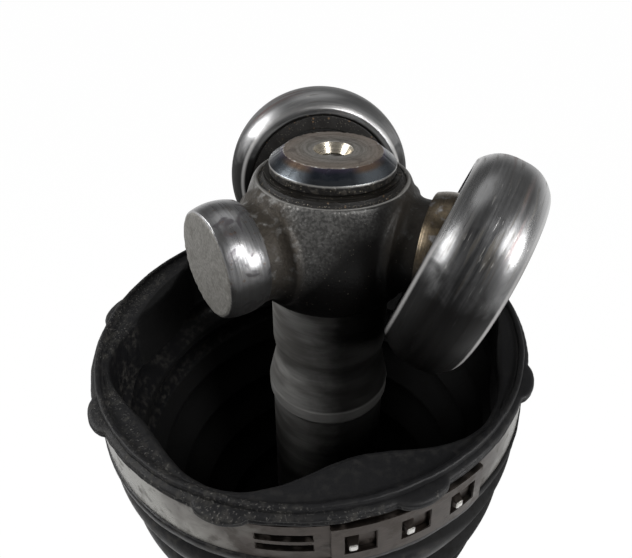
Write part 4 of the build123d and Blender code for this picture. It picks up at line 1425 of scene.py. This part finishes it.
def banded_neck(bore: float, radius: float, span: Span, middle: float, rounds: Span) -> Shape:
    """Neck of a boot, with the groove for its clamp.

    Args:
        bore: Inner radius.
        radius: Outer radius beside the groove.
        span: Lowest and highest height.
        middle: Height of the groove's middle.
        rounds: Rounding of the outer edge below and above.

    Returns:
        The closed surface.
    """
    depth, half, soft, steps = 0.6, 3.58, 0.3, 128
    (low, high), groove = span, radius - depth
    return lathe(outline(
        (bore, low, soft), (radius, low, rounds[0]), (radius, middle - half, soft), (groove, middle - half),
        (groove, middle + half), (radius, middle + half, soft), (radius, high, rounds[1]),
        (bore, high, soft)), steps)


@dataclass
class InnerBoot:
    """The rubber boot of the tripod joint: lobed mouth, nubs, folds and neck."""

    pivot: float = -106.46
    lean: float = 2.7
    lean_azimuth: float = 172.0
    mouth: float = -21.5
    edge: float = 42.7
    lip: float = 43.6
    seat: float = 42.4
    band: Span = (-32.76, -24.6)
    fold_top: float = -35.86
    fold_bottom: float = -99.46
    lobe_mean: float = 38.05
    main_wave: float = 1.75
    side_wave: float = 2.15
    lobe_turn: float = 45.0
    lobe_depth: float = 12.6
    wall: float = 1.7
    nubs: int = 9
    nub_turn: float = 15.0
    nub_rise: float = 1.34
    nub_half: float = 4.3
    neck: float = 14.83
    bore: float = 12.23
    neck_low: float = -113.46
    steps: int = 720

    def leaned(self) -> Matrix:
        """Lean of the open end about the middle of the neck."""
        turn = turned_to(self.lean_azimuth)
        tilt = Matrix.Rotation(radians(self.lean), 4, "Y")
        return raised(self.pivot) @ turn @ tilt @ turn.inverted() @ raised(-self.pivot)

    def lobes(self, turn: np.ndarray) -> np.ndarray:
        """Radius of the lobed socket at each azimuth."""
        away = turn - radians(self.lobe_turn)
        return self.lobe_mean - self.main_wave * np.cos(3 * away) - self.side_wave * np.cos(6 * away)

    def nub(self, turn: np.ndarray) -> np.ndarray:
        """How far the nubs stand out at each azimuth, between 0 and 1."""
        pitch = 2 * pi / self.nubs
        away = (turn - radians(self.nub_turn) + pitch / 2) % pitch - pitch / 2
        span = np.clip(1 - (away * self.lip / self.nub_half) ** 2, 0, 1)
        return span**0.62

    def mouthpiece(self) -> Shape:
        """Socket, rim, lip with its nubs, clamp seat and lower lip as one closed skin."""
        turn = np.linspace(0, 2 * pi, self.steps, endpoint=False)
        lobe, nub = self.lobes(turn), self.nub(turn) * self.nub_rise
        low, shelf = self.mouth - self.lobe_depth, self.mouth - 1.0
        ledge, inner_wall = self.mouth, self.seat - self.wall
        rows = [(lobe, low)]
        rows += [(lobe, z) for z in np.linspace(low + 1, shelf - 1.3, 6)]
        for angle in np.linspace(0.15, pi / 2, 7):
            rows.append((lobe + 1.1 * (1 - np.cos(angle)), shelf - 1.1 * (1 - sin(angle))))
        rim_in = self.edge - 1.0
        for share in (0.3, 0.6, 0.85, 1.0):
            rows.append((lobe + 1.1 + (rim_in - 0.35 - lobe - 1.1) * share, shelf - 0.05 * sin(pi * share)))
        rows += [(rim_in - 0.15, shelf + 0.12), (rim_in, shelf + 0.4), (rim_in, ledge - 0.35),
                 (rim_in + 0.1, ledge - 0.1), (rim_in + 0.35, ledge), (self.edge - 0.3, ledge),
                 (self.edge - 0.08, ledge - 0.1), (self.edge, ledge - 0.32), (self.edge, ledge - 0.95)]
        high, foot = ledge - 1.1, self.band[1] + 0.04
        middle = (high + foot) / 2
        for share in np.linspace(0, 1, 13):
            height = high + (foot - high) * share
            round_lip = 1 - abs(2 * share - 1) ** 5
            rise = nub * (1 - abs(2 * share - 1) ** 3.2) ** 0.5
            groove = 0.22 * np.exp(-(((height - middle) / 0.16) ** 2)) * (1 - self.nub(turn))
            rows.append((self.edge + (self.lip - self.edge) * round_lip + rise - groove, height))
        rows += [(self.seat, foot), (self.seat, self.band[0]), (self.lip - 0.2, self.band[0] - 0.02),
                 (self.lip, self.band[0] - 0.25), (self.lip, self.fold_top + 1.6),
                 (self.lip - 0.25, self.fold_top + 1.25), (self.lip - 2.4, self.fold_top + 0.3),
                 (self.lip - 3.4, self.fold_top - 0.4), (self.lip - 4.6, self.fold_top - 0.2),
                 (inner_wall - 0.6, self.fold_top + 0.6), (inner_wall, low - 0.5), (inner_wall, low - 0.1)]
        grid = np.array([turned_points(radius + 0 * turn, turn, height) for radius, height in rows])
        skin = grain(grid, 7.0, 12) * 0.05 + grain(grid, 2.2, 13) * 0.02
        grid[..., :2] *= 1 + (skin / 42)[..., None]
        return woven(grid)

    def throat(self) -> Shape:
        """Neck on the bar, with the groove for its clamp."""
        return banded_neck(self.bore, self.neck, (self.neck_low, self.fold_bottom + 0.9), self.pivot, (0.5, 0.3))

    def build(self) -> None:
        """Makes the mouth, the folds and the neck in one rubber."""
        rubber = Rubber("inner_boot_rubber", "boot_rubber", dusty=0.55, rim=-25.4)
        folds = Bellows(self.fold_top, self.fold_bottom, folds=6, wide=43.4, narrow=25.0, neck=15.2)
        fitted(mesh_piece("boot_mouth", self.mouthpiece().placed(self.leaned()), crease=60), rubber,
               Body.AXLE.value, "inner_boot")
        bellows = folds.shape(rubber.material()).placed(self.leaned())
        fitted(mesh_piece("boot_folds", bellows, crease=50), rubber, Body.AXLE.value, "inner_boot")
        fitted(mesh_piece("boot_neck", self.throat()), rubber, Body.AXLE.value, "inner_boot")


@dataclass
class OuterBoot:
    """The rubber boot of the ball joint."""

    cuff_low: float = -360.0
    cuff_high: float = -342.0
    cuff_radius: float = 41.3
    wall: float = 2.2
    band_middle: float = -352.0
    band_half: float = 4.08
    fold_bottom: float = -291.0
    neck_high: float = -277.0
    neck_radius: float = 14.83
    bore: float = 12.23
    shoulder: Span = (39.0, 39.5)

    def build(self) -> None:
        """Makes cuff, folds and neck as one piece."""
        outer, low = self.cuff_radius + self.wall, self.band_middle - self.band_half
        high, seat = self.band_middle + self.band_half, self.cuff_radius + self.wall - 0.6
        cuff = lathe(outline(
            (self.cuff_radius, self.cuff_low, 0.2), (outer, self.cuff_low, 0.5), (outer, low, 0.2), (seat, low),
            (seat, high), (outer, high, 0.2), (outer, self.cuff_high, 0.5),
            (self.shoulder[1], self.cuff_high + 0.9, 0.4), (self.shoulder[0], self.cuff_high - 0.4, 0.3),
            (self.cuff_radius, self.cuff_high - 1.2, 0.4)), 168)
        neck = banded_neck(self.bore, self.neck_radius, (self.fold_bottom - 0.9, self.neck_high),
                           (self.fold_bottom + self.neck_high) / 2, (0.3, 0.5))
        rubber = Rubber("outer_boot_rubber", "boot_rubber", dusty=0.35)
        folds = Bellows(self.cuff_high, self.fold_bottom, folds=5, wide=43.0, narrow=24.5, neck=15.2,
                        power=1.3, depth=4.0)
        skin = cuff + folds.shape(rubber.material()) + neck
        piece = mesh_piece("outer_boot_rubber", skin, crease=50)
        piece.data.materials.append(rubber.material())
        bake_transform(piece)
        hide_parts("outer_boot")
        log.info("%s: %d faces", piece.name, len(piece.data.polygons))


@dataclass
class WindowedClamp:
    """Flat band whose upper end hooks into windows, with two slots in the band before it."""

    name: str
    node: str
    bore: float
    low: float
    azimuth: float
    body: Body
    lean: Matrix | None = None
    stained: float = 284.0
    width: float = 8.0
    thickness: float = 0.8
    closure: float = 34.0
    windows: int = 3
    window_share: float = 0.55
    slot_length: float = 8.6
    slot_width: float = 1.3
    slot_gap: float = 2.3
    slot_distance: float = 9.0
    hook_height: float = 1.5
    hook_middle: float = 0.7
    hook_share: float = 0.9
    hook_taper: float = 0.55
    # How far beyond the bore the hooks are laid light.
    light_from: float = 2.1

    def build(self) -> None:
        """Cuts slots in the band, lays the windowed end over it and stands hooks in the windows."""
        outer = self.bore + self.thickness
        middle = self.width / 2
        turn = 180 / pi / outer
        centre = 180 - self.closure / 2 - self.slot_distance
        slots = []
        for side in (-1, 1):
            height = middle + side * self.slot_gap / 2
            slots.append((centre - self.slot_length / 2 * turn, centre + self.slot_length / 2 * turn,
                          height - self.slot_width / 2, height + self.slot_width / 2))
        band = Strip(self.bore, self.thickness, self.low, self.width, 180, 360).shape(slots)
        step = self.closure / self.windows
        half = step * self.window_share / 2
        cuts = [((i + 0.5) * step - half, (i + 0.5) * step + half, self.width / 4, self.width * 3 / 4)
                for i in range(self.windows)]
        layer = Strip(outer + 0.02, self.thickness, self.low, self.width, -self.closure / 2, self.closure)
        clamp = band + layer.shape(cuts)
        for index in range(self.windows):
            angle = (index + 0.5) * step - self.closure / 2 - half / 2
            size = (self.hook_height, half / turn * self.hook_share, self.width / 4)
            hook = block(size, (outer + self.hook_middle, 0, self.low + middle), self.hook_taper)
            clamp = clamp + hook.placed(turned_to(angle))
        place = (self.lean or Matrix.Identity(4)) @ turned_to(self.azimuth)
        piece = mesh_piece(self.name, clamp.placed(place), bevel=0.12)
        steel = BandSteel(self.name, "clamp_steel", self.lean, stained=self.stained,
                          hooks=self.bore + self.light_from)
        fitted(piece, steel, self.body.value, self.node)


@dataclass
class EarClamp:
    """Narrow band closed by a crimped ear."""

    name: str
    node: str
    bore: float
    middle: float
    azimuth: float
    width: float = 7.0
    thickness: float = 0.8
    ear_half: float = 4.0
    ear_height: float = 3.2

    def build(self) -> None:
        """Band, the ear's folded strip, and its pinched waist."""
        outer, low = self.bore + self.thickness, self.middle - self.width / 2
        band = Strip(self.bore, self.thickness, low, self.width, 0, 360).shape([], 4)
        path = [(0.0, -self.ear_half - 0.3), (self.ear_height * 0.55, -self.ear_half * 0.62),
                (self.ear_height * 0.95, -self.ear_half * 0.8), (self.ear_height, 0.0),
                (self.ear_height * 0.95, self.ear_half * 0.8), (self.ear_height * 0.55, self.ear_half * 0.62),
                (0.0, self.ear_half + 0.3)]
        inner = [(0.0, y * 0.72) if x == 0 else (x - 0.75, y * 0.74) for x, y in path]
        ring = [(outer - 0.35 + x, y) for x, y in path + inner[::-1]]
        rows = np.array([[(x, y, z) for x, y in ring] for z in (low, low + self.width)])
        count = len(ring)
        ear = woven(rows, along=False)
        half = count // 2
        caps = [(i, i + 1, count - 2 - i, count - 1 - i) for i in range(half - 1)]
        ear.faces += caps + [tuple(count + i for i in cap) for cap in caps]
        piece = mesh_piece(self.name, (band + ear).placed(turned_to(self.azimuth)), bevel=0.12)
        fitted(piece, BandSteel(self.name, "clamp_steel", stained=self.azimuth, reach=30), Body.AXLE.value, self.node)


@dataclass
class OuterJoint:
    """The ball joint: bell with its stub axle, race, cage and balls."""

    thread_high: float = -453.0
    thread_low: float = -473.0
    thread_radius: float = 10.98
    thread_pitch: float = 1.5
    thread_depth: float = 0.85
    chamfer: float = 1.4
    core: float = 9.9
    hole_rim: float = 5.2
    hole_mouth: float = 4.6
    hole_bore: float = 2.5
    run_out: Span = (1.6, 2.2)
    thread_grid: tuple[int, int] = (200, 120)

    def thread(self) -> Shape:
        """Screw thread as a height field round a pin, running out at both ends."""
        rows, columns = self.thread_grid
        height = np.linspace(self.thread_low, self.thread_high, rows)[:, None]
        turn = np.linspace(0, 2 * pi, columns, endpoint=False)[None, :]
        phase = (height / self.thread_pitch - turn / (2 * pi)) % 1
        tooth = np.clip(1.25 - 2.5 * abs(2 * phase - 1), 0, 1)
        start, stop = (height - self.thread_low) / self.run_out[0], (self.thread_high - height) / self.run_out[1]
        ends = np.clip(start, 0, 1) * np.clip(stop, 0, 1)
        radius = self.thread_radius - self.thread_depth * (1 - tooth * ends)
        radius = np.minimum(radius, self.thread_radius - self.chamfer + (height - self.thread_low))
        side = turned_points(radius, turn, height)
        low, high = self.thread_low, self.thread_high
        cap = [(self.hole_rim, low), (self.hole_mouth, low + 0.3), (self.hole_bore, low + 3.4),
               (self.hole_bore, low + 8.0), (0.0, low + 10.0), (0.0, high + 0.4), (self.core, high + 0.4)]
        rest = [turned_points(r, turn[0], z) for r, z in cap]
        return woven(np.concatenate([np.array(rest[:4])[::-1], side, np.array(rest[:3:-1])]))

    def build(self) -> None:
        """Dresses the joint's pieces and gives the stub its screw thread."""
        bell = seamless("outer_joint_bell", "bell_and_stub")
        with opened(bell.data) as work:
            whole = [*work.verts, *work.edges, *work.faces]
            bmesh.ops.bisect_plane(work, geom=whole, plane_co=(0, 0, (self.thread_high + 0.2) * MM),
                                   plane_no=(0, 0, 1), clear_inner=True)
            bmesh.ops.holes_fill(work, edges=work.edges)
        forged = BellSteel("bell_steel", "bell_steel")
        fitted(bell, forged, Body.BELL.value, "outer_joint_bell")
        thread = TurnedSteel("thread_steel", "bell_steel", tone=(0.36, 0.35, 0.33), stained=0.4, marks=0.004)
        fitted(mesh_piece("stub_thread", self.thread(), crease=30), thread, Body.BELL.value, "outer_joint_bell")
        centre = raised(JOINT_HEIGHT)
        race = TurnedSteel("race_steel", "bearing_steel", centre, tone=(0.45, 0.44, 0.42), stained=0.5, roughness=0.2)
        fitted(seamless("inner_race", "star_race"), race, Body.AXLE.value, "inner_race")
        cage = TurnedSteel("cage_steel", "ring_steel", centre, tone=(0.2, 0.2, 0.2), stained=0.5, marks=0.01)
        fitted(seamless("ball_cage", "window_cage"), cage, Body.CAGE.value, "ball_cage")
        bright = TurnedSteel("ball_steel", "bearing_steel", tone=(0.62, 0.62, 0.61), stained=0.25, roughness=0.1,
                             marks=0.002)
        for number in range(1, 7):
            ball = seamless(f"joint_ball_{number}", f"ball_{number}", 180)
            fitted(ball, bright, Body.CAGE.value, f"joint_ball_{number}")


# The studio


@dataclass(frozen=True)
class Lamp:
    """One soft round lamp. Place, target and size are metres, and power is watts."""

    name: str
    place: Place
    size: float
    power: float
    target: Place = (0, 0, -0.02)

    def hang(self) -> None:
        """Adds the lamp, turned to its target."""
        data = bpy.data.lights.new(self.name, "AREA")
        data.shape, data.size, data.energy = "DISK", self.size, self.power
        lamp = linked(self.name, data)
        way = Vector(self.target) - Vector(self.place)
        lamp.rotation_euler = way.to_track_quat("-Z", "Y").to_euler()
        lamp.location = self.place


@dataclass
class Studio:
    """Pale floor, plain soft light, and the camera at the photograph's place."""

    camera_place: Place = (0.0, -86.835, 49.452)
    look_down: float = 28.19
    roll: float = 1.26
    focus: float = 524.935
    centre: Span = (331.828, 212.299)
    sensor: float = 36.0
    floor: float = -473.5
    floor_size: Place = (12000, 12000, 10)
    floor_shown: float = 0.98
    floor_mirrored: float = 0.05
    dim: float = 0.13
    glossy: float = 0.85
    ambient: float = 0.22
    lamps: tuple[Lamp, ...] = (
        Lamp("key", (0.42, -0.44, 0.48), 0.22, 2.8),
        Lamp("left", (-0.66, 0.0, 0.34), 0.42, 4.0),
        Lamp("right", (0.76, -0.38, 0.16), 0.34, 4.4),
        Lamp("top", (-0.05, 0.35, 0.8), 0.6, 0.6, (0, 0, -0.1)))

    def camera(self) -> None:
        """Sets the camera from the photograph's own focus, tilt and centre."""
        down, roll = radians(self.look_down), radians(self.roll)
        across, up = Vector((1, 0, 0)), Vector((0, sin(down), cos(down)))
        right = cos(roll) * across + sin(roll) * up
        top = cos(roll) * up - sin(roll) * across
        data = bpy.data.cameras.new("camera")
        data.sensor_width = self.sensor
        data.lens = self.focus * self.sensor / PICTURE_SIZE[0]
        data.shift_x = (PICTURE_SIZE[0] / 2 - self.centre[0]) / PICTURE_SIZE[0]
        data.shift_y = (self.centre[1] - PICTURE_SIZE[1] / 2) / PICTURE_SIZE[0]
        data.clip_start, data.clip_end = 0.002, 20.0
        camera = linked("camera", data)
        turn = Matrix((right, top, right.cross(top))).transposed().to_4x4()
        camera.matrix_world = Matrix.Translation(Vector(self.camera_place) * MM) @ turn
        bpy.context.scene.camera = camera

    def sky(self) -> None:
        """White to the camera; what shines sees a bright low background and a dark room."""
        world = bpy.data.worlds.new("room")
        bpy.context.scene.world = world
        world.use_nodes = True
        room = Graph(world.node_tree)
        world.node_tree.nodes.clear()
        path = room.node("ShaderNodeLightPath").outputs
        seen, glossy = Wire(room, path["Is Camera Ray"]), Wire(room, path["Is Glossy Ray"])
        through = Wire(room, path["Is Transmission Ray"])
        way = room.node("ShaderNodeSeparateXYZ", sockets={0: room.wire("ShaderNodeTexCoord", out="Generated")})
        x, y, z = (Wire(room, socket) for socket in way.outputs)
        behind = (y + 0.3 * abs(x)).over(0.5, 0.3) * (1 - z.over(0.15, 0.25))
        gloss = self.dim + (self.glossy - self.dim) * behind
        direct = (seen + through).clamped()
        strength = direct + glossy * gloss * (1 - direct)
        strength = strength + self.ambient * (1 - (seen + glossy + through).clamped())
        light = room.wire("ShaderNodeBackground", sockets={"Color": (1, 1, 1, 1), "Strength": strength})
        room.node("ShaderNodeOutputWorld", sockets={"Surface": light})

    def floor_sheet(self) -> None:
        """Pale floor under the stub axle, which stays white to the camera and keeps a faint shadow."""
        sheet = block(self.floor_size, (0, 0, self.floor - self.floor_size[2] / 2))
        floor = mesh_piece("floor", sheet)
        recipe = Recipe("floor")
        recipe.surface(base_color=(0.9, 0.9, 0.9), roughness=0.8)
        glow = recipe.wire("ShaderNodeEmission", sockets={"Color": (1, 1, 1, 1), "Strength": 1.01})
        path = recipe.node("ShaderNodeLightPath").outputs
        seen, through = Wire(recipe, path["Is Camera Ray"]), Wire(recipe, path["Is Transmission Ray"])
        behind = (recipe.y + 0.5 * abs(recipe.x)).over(700.0, 500.0)
        glossy = Wire(recipe, path["Is Glossy Ray"]) * (self.floor_mirrored + self.glossy * behind)
        bright = ((seen + through).clamped() * self.floor_shown + glossy).clamped()
        mixed = recipe.wire("ShaderNodeMixShader", sockets={
            0: bright, 1: Wire(recipe, recipe.shader.outputs[0]), 2: glow})
        ends = [n for n in recipe.tree.nodes if n.type == "OUTPUT_MATERIAL"]
        recipe.feed(ends[0].inputs[0], mixed)
        floor.data.materials.append(recipe.material)

    def build(self) -> None:
        """Sets up camera, light and floor."""
        bpy.context.scene.view_settings.view_transform = "Standard"
        self.camera()
        self.sky()
        self.floor_sheet()
        for lamp in self.lamps:
            lamp.hang()


def main() -> None:
    """Builds the studio and every sub-assembly in order."""
    logging.basicConfig(level=logging.INFO, format="%(message)s")
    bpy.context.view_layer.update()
    Studio().build()
    ShaftBar().build()
    TripodSpider().build()
    SnapRing("spider_snap_ring", "spider_retaining_ring", low=9.96).build()
    SnapRing("race_snap_ring", "race_retaining_ring", low=-374.04).build()
    HubGrease().build()
    RollerAssembly("rear", azimuth=97.1, slide=2.5, droop=4.0, dark=0.85, rough=0.34).build()
    RollerAssembly("right", azimuth=337.1, slide=3.5, droop=18.6, dark=0.92).build()
    boot = InnerBoot()
    boot.build()
    OuterBoot().build()
    WindowedClamp("mouth_clamp", "inner_boot_large_clamp", bore=42.48, low=-32.68, azimuth=293,
                  body=Body.AXLE, lean=boot.leaned()).build()
    WindowedClamp("cuff_clamp", "outer_boot_large_clamp", bore=42.98, low=-356.0, azimuth=300,
                  body=Body.BELL, stained=300).build()
    EarClamp("inner_neck_clamp", "inner_boot_small_clamp", bore=14.31, middle=-106.46, azimuth=250).build()
    EarClamp("outer_neck_clamp", "outer_boot_small_clamp", bore=14.31, middle=-284.0, azimuth=290).build()
    OuterJoint().build()


if __name__ == "__main__":
    main()
